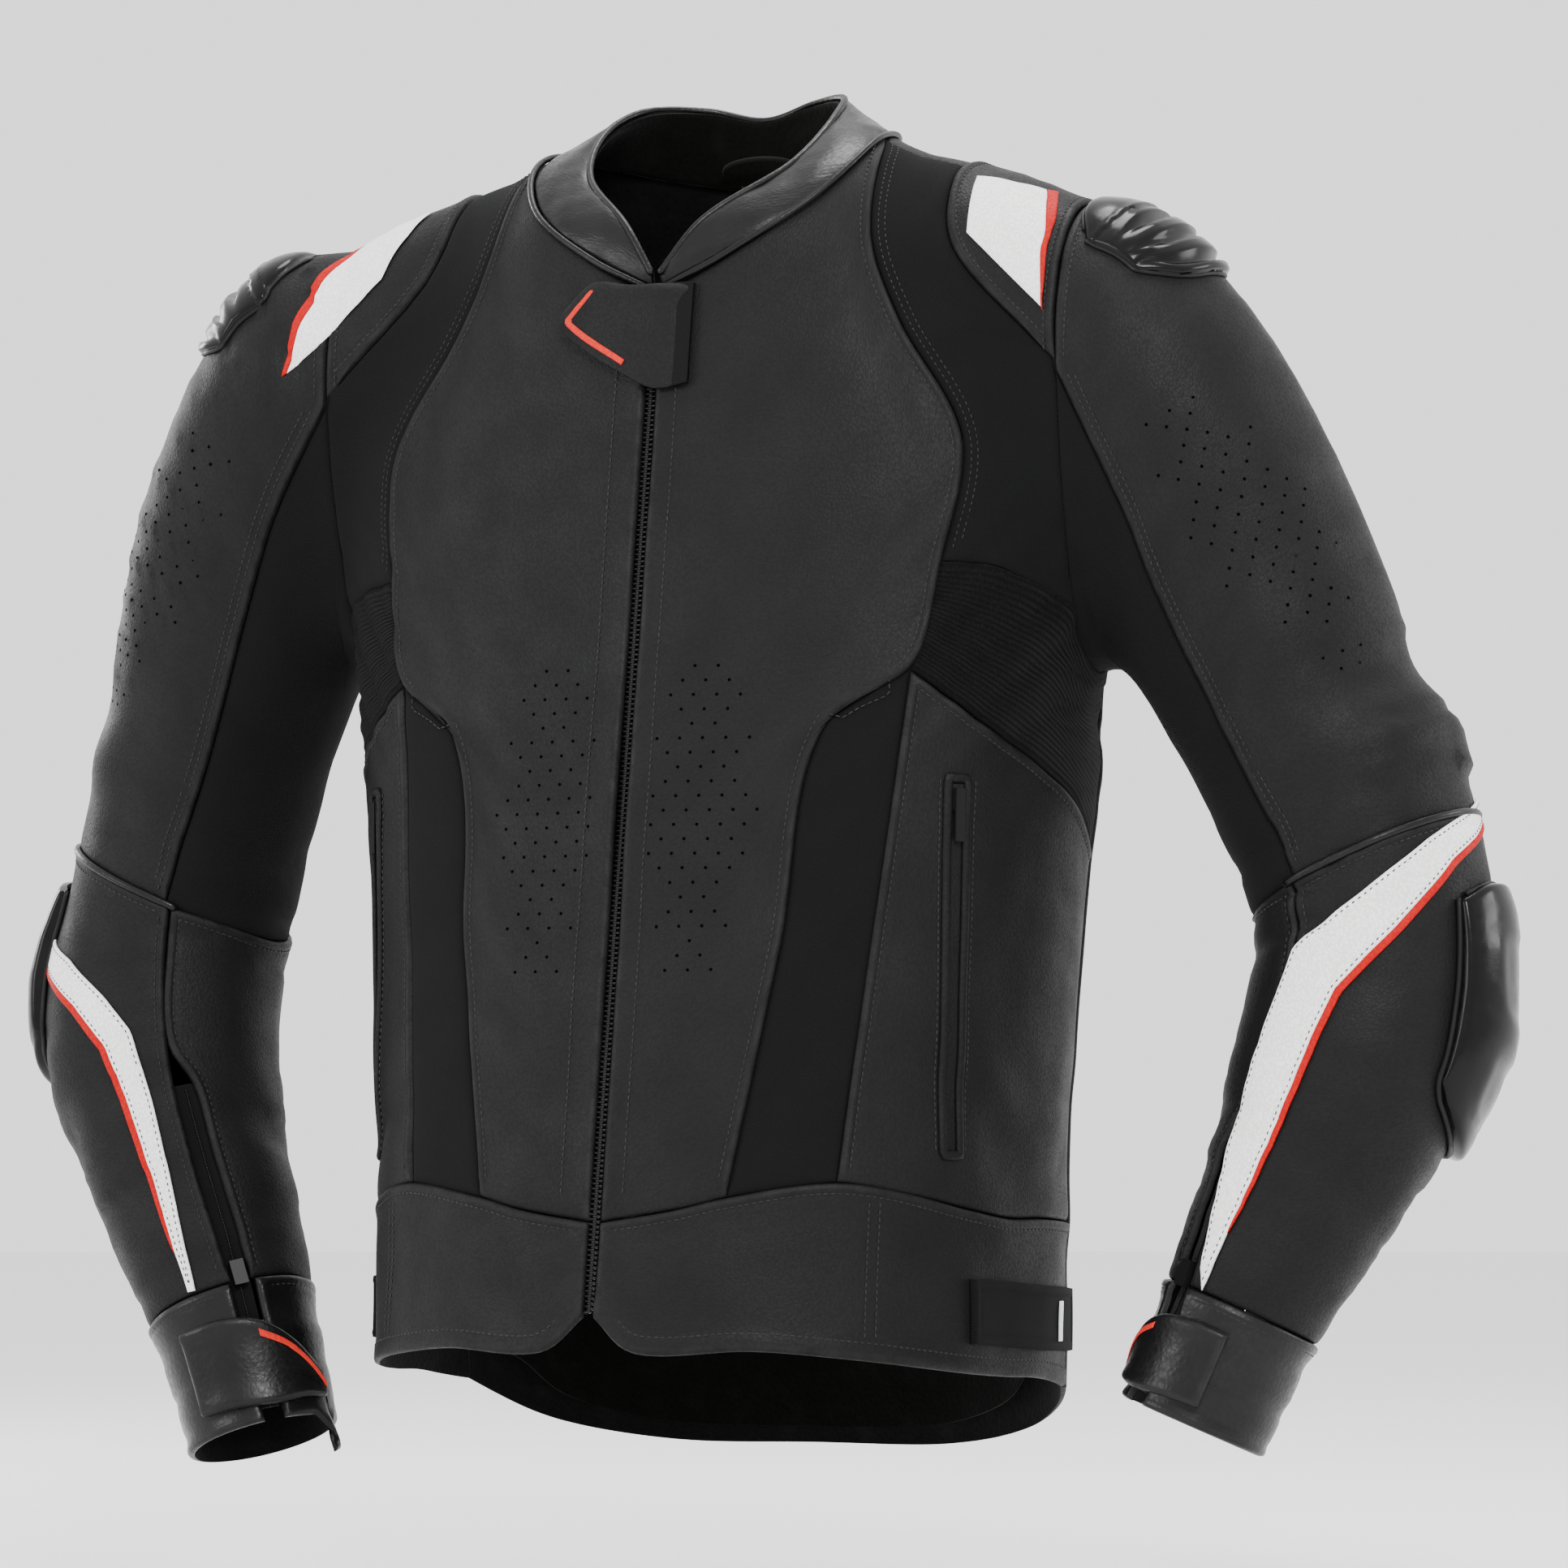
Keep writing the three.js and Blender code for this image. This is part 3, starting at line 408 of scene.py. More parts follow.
def make(name, verts, faces, materials, uv=None, slots=None, wear=None, normals=None):
    """A Blender mesh from points in millimetres."""
    mesh = bpy.data.meshes.new(name)
    mesh.from_pydata((np.asarray(verts, float) / 1000).tolist(), [], [list(map(int, f)) for f in faces])
    mesh.polygons.foreach_set("use_smooth", np.ones(len(mesh.polygons), bool))
    for m in materials if isinstance(materials, (list, tuple)) else [materials]:
        mesh.materials.append(m)
    if slots is not None:
        mesh.polygons.foreach_set("material_index", np.asarray(slots, np.int32))
    if uv is None:
        uv = np.asarray(verts, float)[:, [0, 2]] / 1000
    layer = mesh.uv_layers.new(name="UVMap")
    corner = np.empty(len(mesh.loops), np.int32)
    mesh.loops.foreach_get("vertex_index", corner)
    layer.data.foreach_set("uv", np.asarray(uv, np.float32)[corner].ravel())
    worn = mesh.attributes.new("wear", "FLOAT", "POINT")
    worn.data.foreach_set("value", np.asarray(np.zeros(len(verts)) if wear is None else wear, np.float32))
    mesh.update()
    if normals is not None:
        mesh.normals_split_custom_set_from_vertices(np.asarray(normals, float).tolist())
    obj = bpy.data.objects.new(name, mesh)
    bpy.context.scene.collection.objects.link(obj)
    return obj


def slab_faces(columns, rows):
    """Faces of a closed slab: the outer grid, the inner grid and the walls between them."""
    i = np.arange(columns * rows).reshape(columns, rows)
    j = i + columns * rows
    outer = np.stack([i[:-1, :-1], i[:-1, 1:], i[1:, 1:], i[1:, :-1]], -1).reshape(-1, 4)
    inner = np.stack([j[:-1, :-1], j[1:, :-1], j[1:, 1:], j[:-1, 1:]], -1).reshape(-1, 4)
    walls = []
    for a, flip in ((i[0, :], False), (i[-1, :], True), (i[:, 0], True), (i[:, -1], False)):
        b = a + columns * rows
        w = np.stack([a[:-1], b[:-1], b[1:], a[1:]], -1)
        walls.append(w[:, ::-1] if flip else w)
    return np.vstack([outer, inner, *walls]), len(outer)


def is_inside_out(verts, faces):
    a, b, c, d = (verts[faces[:, n]] for n in range(4))
    return (np.einsum("ij,ij->i", a, np.cross(b, c)) + np.einsum("ij,ij->i", a, np.cross(c, d))).sum() < 0


class Place:
    """Where a piece rides: on one body, or, between two bodies, left unparented with its transform applied."""

    def __init__(self, name, body, to=None, start=None, end=None):
        self.name, self.body, self.to, self.start, self.end = name, body, to, start, end

    def put(self, obj, slot=None):
        if self.to:
            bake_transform(obj)
        else:
            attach(obj, self.body)
        return obj


def vertex_normals(verts, faces):
    tri = np.vstack([faces[:, [0, 1, 2]], faces[:, [0, 2, 3]]])
    n = np.cross(verts[tri[:, 1]] - verts[tri[:, 0]], verts[tri[:, 2]] - verts[tri[:, 0]])
    out = np.zeros_like(verts)
    for c in range(3):
        for axis in range(3):
            out[:, axis] += np.bincount(tri[:, c], n[:, axis], len(verts))
    return out / np.maximum(np.linalg.norm(out, axis=1, keepdims=True), 1e-12)


class Cloth:
    """One sewn panel: its grid on the shell, its height over it and its stitch lines."""

    def __init__(self, name, columns, edges, cell=5.0, lift=0.0, thick=SLAB, shape=None, gap=0.25,
                 relief=None):
        self.name, self.edges, self.lift = name, edges, lift
        base = grid_of(columns, edges, cell)
        self.grid = self.pull_in(base, gap)
        self.up = normals_at(self.grid)
        self.borders = [self.grid[0], self.grid[-1], self.grid[:, 0], self.grid[:, -1]]
        flat = self.grid.reshape(-1, 3)
        self.reach = [near_line(flat, b).reshape(self.grid.shape[:2]) for b in self.borders]
        height = np.zeros(self.grid.shape[:2])
        wear = np.zeros_like(height)
        for style, d in zip(edges, self.reach):
            at, h = np.array(PROFILES[style]).T
            here = np.interp(d, at, h)
            kept = np.where(height < 0, height, np.maximum(height, here))
            height = np.where(here < 0, np.minimum(height, here), kept)
            if style in ("fold", "roll", "hem"):
                wear = np.maximum(wear, bump(d, 1.8, 1.5))
        if shape is not None:
            u, v = np.meshgrid(*(np.linspace(0, 1, n) for n in height.shape), indexing="ij")
            height = height + shape(u, v)
        if relief is not None:
            height = height + relief(self.grid)
        self.wear = wear
        self.fall = drape(self.grid)
        self.outer = self.grid + self.up * (height + self.fall + lift)[..., None]
        self.inner = self.grid + self.up * (self.fall + lift - thick - 0.1)[..., None]
        self.uv = flat_uv(self.grid, seed_of(name))

    @staticmethod
    def pull_in(grid, gap):
        out = grid.copy()
        for a, b in ((0, 2), (-1, -3)):
            d = grid[b] - grid[a]
            out[a] = out[a] + d / np.maximum(np.linalg.norm(d, axis=1, keepdims=True), 1e-6) * gap
        for a, b in ((0, 2), (-1, -3)):
            d = out[:, b] - out[:, a]
            out[:, a] = out[:, a] + d / np.maximum(np.linalg.norm(d, axis=1, keepdims=True), 1e-6) * gap
        return out

    def build(self, places, materials, slot, replaces=(), split_at=None):
        """Makes the mesh, in one piece or cut at a row between two places."""
        rows = self.grid.shape[1]
        cuts = [0, rows - 1] if split_at is None else [0, split_at, rows - 1]
        verts = np.vstack([self.outer.reshape(-1, 3), self.inner.reshape(-1, 3)])
        faces, _ = slab_faces(*self.grid.shape[:2])
        inside_out = is_inside_out(verts, faces)
        whole = vertex_normals(verts, faces) * (-1 if inside_out else 1)
        n_out = self.grid.shape[0] * rows
        whole_outer = whole[:n_out].reshape(self.grid.shape)
        whole_inner = whole[n_out:].reshape(self.grid.shape)
        made = []
        for part, (a, b) in enumerate(zip(cuts, cuts[1:])):
            cut = slice(a, b + 1)
            piece = np.vstack([self.outer[:, cut].reshape(-1, 3), self.inner[:, cut].reshape(-1, 3)])
            f, n = slab_faces(self.grid.shape[0], b + 1 - a)
            slots = np.r_[np.zeros(n, int), np.ones(n, int), np.zeros(len(f) - 2 * n, int)]
            if inside_out:
                f = f[:, ::-1]
            uv = np.vstack([self.uv[:, cut].reshape(-1, 2)] * 2)
            wear = np.r_[self.wear[:, cut].ravel(), np.zeros(self.wear[:, cut].size)]
            normals = None
            if len(cuts) > 2:
                normals = np.vstack([whole_outer[:, cut].reshape(-1, 3), whole_inner[:, cut].reshape(-1, 3)])
            title = self.name + ("" if len(cuts) == 2 else ["_top", "_low"][part])
            obj = make(title, piece, f, materials, uv, slots, wear, normals)
            places[part].put(obj, slot)
            if part == 0:
                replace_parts(obj, *replaces)
            made.append(obj)
        return made

    def edge(self, which, off):
        """The line at that distance inside an edge, on the shell, with the height of the finished surface
        there.
        """
        border = self.borders[which]
        inward = [self.grid[3], self.grid[-4], self.grid[:, 3], self.grid[:, -4]][which] - border
        t = tangents(border)
        inward = inward - (inward * t).sum(1, keepdims=True) * t
        inward /= np.maximum(np.linalg.norm(inward, axis=1, keepdims=True), 1e-9)
        path = border + inward * off
        ends = lengths_of(path)
        keep = (ends > off * 0.8) & (ends < ends[-1] - off * 0.8)
        path = on_shell(even(path[keep], 3.0), 2)
        return path, self.height_at(which, off)

    def height_at(self, which, off):
        at, h = np.array(PROFILES[self.edges[which]]).T
        return float(np.interp(off, at, h)) + self.lift


# ---- stitching and piping
THREAD = {}
TRIM = {}


def add_to(store, place, material, verts, faces):
    """Gathers small shapes, so that each place and material becomes one piece."""
    key = (place.name, material.name)
    entry = store.setdefault(key, {"place": place, "material": material, "verts": [], "faces": [], "n": 0})
    entry["verts"].append(verts)
    entry["faces"] += [[v + entry["n"] for v in f] for f in faces]
    entry["n"] += len(verts)


def capsule():
    """One thread stitch: rings of (along, radius, height), sunk at both ends."""
    rings = [(-1.25, 0.14, -0.38), (-0.85, 0.36, 0), (0, 0.4, 0.1), (0.85, 0.36, 0), (1.25, 0.14, -0.38)]
    verts = []
    for x, r, z in rings:
        for i in range(5):
            a = 2 * math.pi * i / 5 + 0.3
            verts.append((x, r * math.cos(a), z + r * math.sin(a)))
    faces = [[5 * n + i, 5 * n + (i + 1) % 5, 5 * n + 5 + (i + 1) % 5, 5 * n + 5 + i]
             for n in range(4) for i in range(5)]
    return np.array(verts), [list(range(4, -1, -1)), *faces, list(range(20, 25))]


STITCH = capsule()


def stitch(place, path, height=0.2, pitch=3.5, size=1.0, material=None):
    """A row of thread stitches lying along a line on the shell."""
    s = lengths_of(path)
    if s[-1] < 2 * pitch:
        return
    at = np.arange(pitch * 0.6, s[-1] - pitch * 0.4, pitch)
    centre = sample(path, at)
    ahead = sample(path, at + 0.5) - sample(path, at - 0.5)
    ahead /= np.linalg.norm(ahead, axis=1, keepdims=True)
    up = normals_at(centre)
    up -= (up * ahead).sum(1, keepdims=True) * ahead
    up /= np.linalg.norm(up, axis=1, keepdims=True)
    across = np.cross(up, ahead)
    centre = centre + up * (drape(centre) + height)[:, None]
    shape = STITCH[0] * size
    verts = (centre[:, None] + shape[None, :, 0:1] * ahead[:, None] + shape[None, :, 1:2] * across[:, None]
             + shape[None, :, 2:3] * up[:, None]).reshape(-1, 3)
    faces = []
    for n in range(len(at)):
        faces += [[v + 25 * n for v in f] for f in STITCH[1]]
    add_to(THREAD, place, material or MAT["thread"], verts, faces)


def stitch_edges(cloth, place, *which):
    for n in which:
        for off in STITCHES_AT[cloth.edges[n]]:
            path, height = cloth.edge(n, off)
            stitch(place, path, height + 0.12)


def tube(path, radius, sides=8, flatten=1.0, up=None, closed=False):
    """A round cord along a path, as vertices and faces, with rounded ends."""
    t = tangents(path, closed)
    n = normals_at(path) if up is None else up
    n = n - (n * t).sum(1, keepdims=True) * t
    n /= np.maximum(np.linalg.norm(n, axis=1, keepdims=True), 1e-9)
    b = np.cross(t, n)
    r = np.broadcast_to(np.asarray(radius, float), (len(path),)).copy()
    if not closed:
        path = np.vstack([path[0] - t[0] * r[0] * 0.6, path, path[-1] + t[-1] * r[-1] * 0.6])
        n, b = np.vstack([n[:1], n, n[-1:]]), np.vstack([b[:1], b, b[-1:]])
        r = np.r_[r[0] * 0.5, r, r[-1] * 0.5]
    a = np.linspace(0, 2 * math.pi, sides, endpoint=False)
    ring = np.cos(a)[None, :, None] * b[:, None] + flatten * np.sin(a)[None, :, None] * n[:, None]
    verts = (path[:, None] + r[:, None, None] * ring).reshape(-1, 3)
    faces = []
    count = len(path)
    for i in range(count if closed else count - 1):
        j = (i + 1) % count
        for m in range(sides):
            q = (m + 1) % sides
            faces.append([i * sides + m, i * sides + q, j * sides + q, j * sides + m])
    if not closed:
        faces += [list(range(sides - 1, -1, -1)), [(count - 1) * sides + m for m in range(sides)]]
    return verts, faces


def pipe(place, path, radius, height=0.0, flatten=1.0, sides=8, material=None):
    """Piping along a line on the shell, at a height over it."""
    path = even(path, 3.0)
    up = normals_at(path)
    lifted = path + up * (drape(path) + height)[:, None]
    add_to(TRIM, place, material or MAT["gloss"], *tube(lifted, radius, sides, flatten, up))


# ---- materials
class Shader:
    def __init__(self, name, colour, rough, **values):
        self.m = bpy.data.materials.new(name)
        self.m.use_nodes = True
        self.tree = self.m.node_tree
        self.bsdf = self.tree.nodes["Principled BSDF"]
        self.bsdf.inputs["Base Color"].default_value = (*colour, 1)
        self.bsdf.inputs["Roughness"].default_value = rough
        for key, value in values.items():
            socket = self.bsdf.inputs[key.replace("_", " ")]
            socket.default_value = (*value, 1) if isinstance(value, tuple) else value
        self.height = None
        self.uv = self.node("ShaderNodeTexCoord").outputs["UV"]

    def node(self, kind, **inputs):
        n = self.tree.nodes.new(kind)
        for key, value in inputs.items():
            self.give(n.inputs[key.replace("_", " ")], value)
        return n

    def give(self, socket, value):
        if isinstance(value, bpy.types.NodeSocket):
            self.tree.links.new(value, socket)
        else:
            socket.default_value = value

    def math(self, op, a, b=0.0, c=0.0):
        n = self.node("ShaderNodeMath")
        n.operation = op
        for i, v in enumerate((a, b, c)):
            self.give(n.inputs[i], v)
        return n.outputs[0]

    def noise(self, scale, detail=3.0, vector=None, rough=0.5):
        return self.node("ShaderNodeTexNoise", Vector=vector or self.uv, Scale=scale, Detail=detail,
                         Roughness=rough).outputs["Fac"]

    def cells(self, scale, feature="F1", vector=None):
        n = self.node("ShaderNodeTexVoronoi", Vector=vector or self.uv, Scale=scale)
        n.feature = feature
        return n.outputs["Distance"]

    def stripes(self, per_metre, axis):
        split = self.node("ShaderNodeSeparateXYZ", Vector=self.uv)
        return self.math("SINE", self.math("MULTIPLY", split.outputs[axis], per_metre * 2 * math.pi))

    def add_height(self, value, amount):
        term = self.math("MULTIPLY", value, amount)
        self.height = term if self.height is None else self.math("ADD", self.height, term)

    def tint(self, factor, other):
        n = self.node("ShaderNodeMix")
        n.data_type = "RGBA"
        now = self.bsdf.inputs["Base Color"]
        if now.is_linked:
            self.give(n.inputs[6], now.links[0].from_socket)
        else:
            n.inputs[6].default_value = now.default_value[:]
        n.inputs[7].default_value = (*other, 1)
        self.give(n.inputs[0], factor)
        self.tree.links.new(n.outputs[2], now)

    def range(self, value, lo, hi, a, b):
        n = self.node("ShaderNodeMapRange", Value=value)
        for i, v in zip((1, 2, 3, 4), (lo, hi, a, b)):
            n.inputs[i].default_value = v
        return n.outputs[0]

    def roughness(self, value):
        self.tree.links.new(value, self.bsdf.inputs["Roughness"])

    def done(self, depth=0.0002, strength=1.0):
        if self.height is not None:
            n = self.node("ShaderNodeBump", Height=self.height, Strength=strength, Distance=depth)
            self.tree.links.new(n.outputs[0], self.bsdf.inputs["Normal"])
        return self.m

    def worn(self, amount, colour):
        wear = self.node("ShaderNodeAttribute")
        wear.attribute_name = "wear"
        patches = self.range(self.noise(90, 4), 0.35, 0.7, 0, amount)
        broken = self.math("MULTIPLY", wear.outputs["Fac"], patches)
        self.tint(broken, colour)


def leather(name, colour, rough, grain=620, depth=0.00022, light=None, shine=0.12):
    """Pebbled leather, paler where it is worn, with painted shade in the grain's valleys."""
    s = Shader(name, colour, rough, Specular_IOR_Level=shine)
    warp = s.noise(240, 2)
    wobble = s.node("ShaderNodeVectorMath", Vector=s.uv)
    wobble.operation = "ADD"
    s.give(wobble.inputs[1], s.math("MULTIPLY", warp, 0.0018))
    pebble = s.cells(grain, "F1", wobble.outputs[0])
    fine = s.cells(grain * 2.1, "F1", wobble.outputs[0])
    s.add_height(pebble, -0.75)
    s.add_height(fine, -0.3)
    s.add_height(s.noise(70, 4), 0.9)
    s.add_height(s.noise(14, 3), 1.6)
    light = light or tuple(min(1, c * 1.75 + 0.006) for c in colour)
    s.tint(s.range(s.noise(22, 5), 0.35, 0.75, 0.0, 0.3), light)
    # painted shade: the colour is darkened in the valleys between the pebbles
    s.tint(s.range(pebble, 0.25, 0.62, 0.0, 0.45), tuple(c * 0.55 for c in colour))
    s.worn(0.75, light)
    polish = s.math("ADD", s.noise(38, 4), s.math("MULTIPLY", pebble, 0.5))
    s.roughness(s.range(polish, 0.4, 0.95, rough - 0.08, rough + 0.12))
    return s.done(depth)


def fabric(name, colour, across=900, down=700, depth=0.00018, sheen=0.25, fuzz=0.25):
    s = Shader(name, colour, 0.9, Specular_IOR_Level=0.08, Sheen_Weight=sheen, Sheen_Roughness=0.45,
               Sheen_Tint=(0.2, 0.2, 0.21))
    warp, weft = s.stripes(across, 0), s.stripes(down, 1)
    s.add_height(s.math("MULTIPLY", warp, weft), 0.55)
    s.add_height(s.noise(900, 2), 0.5)
    s.add_height(s.noise(45, 3), 0.9)
    light = tuple(min(1, c * 1.9 + 0.004) for c in colour)
    # painted highlight: the raised crossings of the weave are lightened in the colour, along with a fine random
    # fleck
    weave_highlight_and_fleck = s.math("ADD", s.math("MULTIPLY", warp, weft), s.noise(1300, 1))
    s.tint(s.range(weave_highlight_and_fleck, 0.1, 1.5, 0, 0.75), light)
    s.tint(s.range(s.noise(30, 5), 0.35, 0.75, 0, fuzz), tuple(c * 0.6 for c in colour))
    return s.done(depth)


def ribbed(name, colour):
    s = Shader(name, colour, 0.88, Specular_IOR_Level=0.08, Sheen_Weight=0.1, Sheen_Roughness=0.4,
               Sheen_Tint=(0.2, 0.2, 0.21))
    rib = s.stripes(330, 1)
    s.add_height(rib, 0.9)
    s.add_height(s.stripes(1000, 0), 0.3)
    s.add_height(s.noise(500, 3), 0.5)
    # painted shade: the colour is darkened in the grooves between the ribs
    s.tint(s.range(rib, -0.6, 0.9, 0.5, 0.0), tuple(c * 0.45 for c in colour))
    s.tint(s.range(s.noise(700, 2), 0.5, 0.8, 0, 0.6), tuple(c * 2.2 + 0.003 for c in colour))
    return s.done(0.0005)


def knit(name, colour):
    s = Shader(name, colour, 0.95, Specular_IOR_Level=0.05, Sheen_Weight=0.05, Sheen_Roughness=0.5)
    holes = s.cells(420, "F1")
    s.add_height(holes, 0.9)
    s.add_height(s.noise(300, 3), 0.5)
    # painted shade: the colour is darkened in the knit's holes
    s.tint(s.range(holes, 0.1, 0.5, 0.7, 0), tuple(c * 0.35 for c in colour))
    s.tint(s.range(s.noise(60, 4), 0.5, 0.8, 0, 0.5), tuple(c * 2 + 0.002 for c in colour))
    return s.done(0.0003)


def moulded(name, colour, rough, coat=0.6):
    """Moulded plastic or rubber."""
    s = Shader(name, colour, rough, Specular_IOR_Level=0.13, Coat_Weight=coat, Coat_Roughness=0.06)
    s.add_height(s.noise(60, 4), 0.6)
    s.add_height(s.cells(900), 0.1)
    s.tint(s.range(s.noise(26, 5), 0.45, 0.8, 0, 0.35), tuple(c * 1.8 + 0.004 for c in colour))
    s.roughness(s.range(s.noise(150, 6), 0.3, 0.8, rough * 0.7, rough * 1.8))
    return s.done(0.00012)


def enamel(name, colour, rough, metal):
    s = Shader(name, colour, rough, Metallic=metal, Specular_IOR_Level=0.2)
    s.add_height(s.noise(220, 5), 0.8)
    s.tint(s.range(s.noise(300, 4), 0.55, 0.8, 0, 0.5), tuple(min(1, c * 2 + 0.004) for c in colour))
    s.roughness(s.range(s.noise(180, 4), 0.3, 0.8, rough * 0.7, rough * 1.5))
    return s.done(0.00008)


def webbing(name, colour):
    s = Shader(name, colour, 0.85, Specular_IOR_Level=0.1, Sheen_Weight=0.05)
    split = s.node("ShaderNodeSeparateXYZ", Vector=s.uv)
    slant = s.math("ADD", split.outputs[0], split.outputs[1])
    twill = s.math("SINE", s.math("MULTIPLY", slant, 4200))
    s.add_height(twill, 0.6)
    s.add_height(s.noise(900, 2), 0.4)
    # painted shade: the colour is darkened in the twill's grooves
    s.tint(s.range(twill, -0.8, 0.8, 0.5, 0), tuple(c * 0.5 for c in colour))
    return s.done(0.00015)


def yarn(name, colour):
    s = Shader(name, colour, 0.55, Specular_IOR_Level=0.2, Sheen_Weight=0.05)
    s.add_height(s.noise(2500, 2), 0.8)
    s.tint(s.range(s.noise(120, 3), 0.4, 0.7, 0, 0.5), tuple(c * 1.8 + 0.01 for c in colour))
    return s.done(0.0001)


def foam(name, colour):
    s = Shader(name, colour, 0.95, Specular_IOR_Level=0.02)
    pores = s.cells(260)
    s.add_height(pores, 1.0)
    # painted shade: the colour is darkened in the pores
    s.tint(s.range(pores, 0.1, 0.5, 0.6, 0), tuple(c * 0.4 for c in colour))
    return s.done(0.0006)


FINE_GRAIN = 0.0001  # metres
MAT = {
    "leather": leather("full_grain_leather", (0.0046, 0.0046, 0.0049), 0.5),
    "gloss": leather("smooth_leather", (0.0028, 0.0028, 0.003), 0.3, grain=380, depth=0.00014, shine=0.2),
    "white": leather("white_leather", (0.88, 0.88, 0.87), 0.5, depth=FINE_GRAIN,
                     light=(0.95, 0.95, 0.95), shine=0.4),
    "red": leather("red_leather", (0.42, 0.0012, 0.002), 0.5, depth=FINE_GRAIN,
                   light=(0.5, 0.004, 0.005), shine=0.1),
    "orange": leather("orange_red_trim", (0.56, 0.02, 0.012), 0.5, depth=FINE_GRAIN,
                      light=(0.62, 0.03, 0.02), shine=0.1),
    "stretch": fabric("woven_stretch", (0.003, 0.003, 0.0032), sheen=0.07),
    "mesh": ribbed("ribbed_stretch", (0.003, 0.003, 0.0032)),
    "lining": knit("knitted_lining", (0.0022, 0.0021, 0.0018)),
    "inside": knit("sleeve_lining", (0.004, 0.004, 0.004)),
    "plastic": moulded("moulded_slider", (0.0016, 0.0016, 0.0017), 0.18, coat=0.03),
    "rubber": moulded("moulded_rubber", (0.006, 0.006, 0.006), 0.42, coat=0.0),
    "metal": enamel("black_enamel", (0.006, 0.006, 0.0062), 0.36, 0.3),
    "tape": webbing("woven_tape", (0.003, 0.003, 0.0032)),
    "thread": yarn("polyester_thread", (0.009, 0.009, 0.0096)),
    "pad": foam("armour_foam", (0.02, 0.02, 0.021)),
    # punched_hole: near-black, standing for the dark backing seen through each hole, deepened with painted
    # shade inside it
    "hole": foam("punched_hole", (0.0004, 0.0004, 0.0004)),
}
TORSO = Place("torso", "torso")

# what a sewn panel is made of: its two faces, its slot and the end of its name
BACKED = [MAT["leather"], MAT["inside"]]
CLOTH = [MAT["stretch"], MAT["inside"]]
KINDS = {
    "leather": (BACKED, "leather", "leather"),
    "gloss": ([MAT["gloss"], MAT["inside"]], "gloss_leather", "leather"),
    "cloth": (CLOTH, "stretch_fabric", "cloth"),
    "mesh": ([MAT["mesh"], MAT["inside"]], "stretch_fabric", "mesh"),
    "back_mesh": ([MAT["mesh"], MAT["inside"]], "stretch_fabric", "cloth"),
}


def panel(node, kind, columns, edges, cell, sewn=(), place=TORSO, relief=None):
    """A panel that stands for one CAD node, stitched along the edges given."""
    materials, slot, ending = KINDS[kind]
    cloth = Cloth(f"{node}_{ending}", columns, edges, cell=cell, relief=relief)
    cloth.build([place], materials, slot, [node])
    stitch_edges(cloth, place, *sewn)
    return cloth


def layer(name, place, columns, material, slot, cell, lift, thick, nodes=(), shape=None):
    """A flat layer of one material, over the shell or under it."""
    cloth = Cloth(name, columns, THIN, cell=cell, lift=lift, thick=thick, gap=0, shape=shape)
    (cloth.obj,) = cloth.build([place], [MAT[material]] * 2, slot, nodes)
    return cloth


# ---- the collar
def whole(half):
    h = np.array(half, float)
    return np.vstack([h, h[-2::-1] * [-1, 1, 1]])


NECK = Seam(*on_shell(whole(COLLAR_SEAM)))
BRIM = Seam(*whole(COLLAR_EDGE), shell=False)


def neck(k, i, j):
    """The neck line of one side between guide points, 0 at the front and 6 at the back."""
    return NECK.part(i, j) if k > 0 else NECK.part(12 - j, 12 - i)[::-1]


def neck_point(k, i):
    return neck(k, i, min(i + 1, 6))[0] if i < 6 else neck(k, 5, 6)[-1]


def collar_grid(inward, low, high, around=190, rings=15):
    """Points between the neck seam and the brim, that far inside the collar."""
    grid = []
    for t in np.linspace(0, 1, around):
        a = sample(NECK.line, t * lengths_of(NECK.line)[-1])
        b = sample(BRIM.line, t * lengths_of(BRIM.line)[-1])
        rise = b - a
        flat = np.array([-a[0], 4 - a[1], 0.0])
        flat /= np.linalg.norm(flat)
        inside = flat - rise * (flat @ rise) / (rise @ rise)
        inside /= np.linalg.norm(inside)
        h = np.linalg.norm(rise)
        v = np.linspace(low / h, 1 - high / h, rings)[:, None]
        bow = 1.6 * np.sin(math.pi * v) * min(1, h / 30)
        grid.append(a + rise * v + inside * (inward - bow))
    return np.array(grid)


def shell_between(name, outer, inner, materials, seed=None, wear=None):
    """A closed slab between two grids."""
    faces, n = slab_faces(*outer.shape[:2])
    verts = np.vstack([outer.reshape(-1, 3), inner.reshape(-1, 3)])
    back_slot = int(len(materials) > 1)
    slots = np.r_[np.zeros(n, int), np.full(n, back_slot), np.zeros(len(faces) - 2 * n, int)]
    if is_inside_out(verts, faces):
        faces = faces[:, ::-1]
    uv = np.vstack([flat_uv(outer, seed_of(name)).reshape(-1, 2)] * 2)
    return make(name, verts, faces, materials, uv, slots, wear)


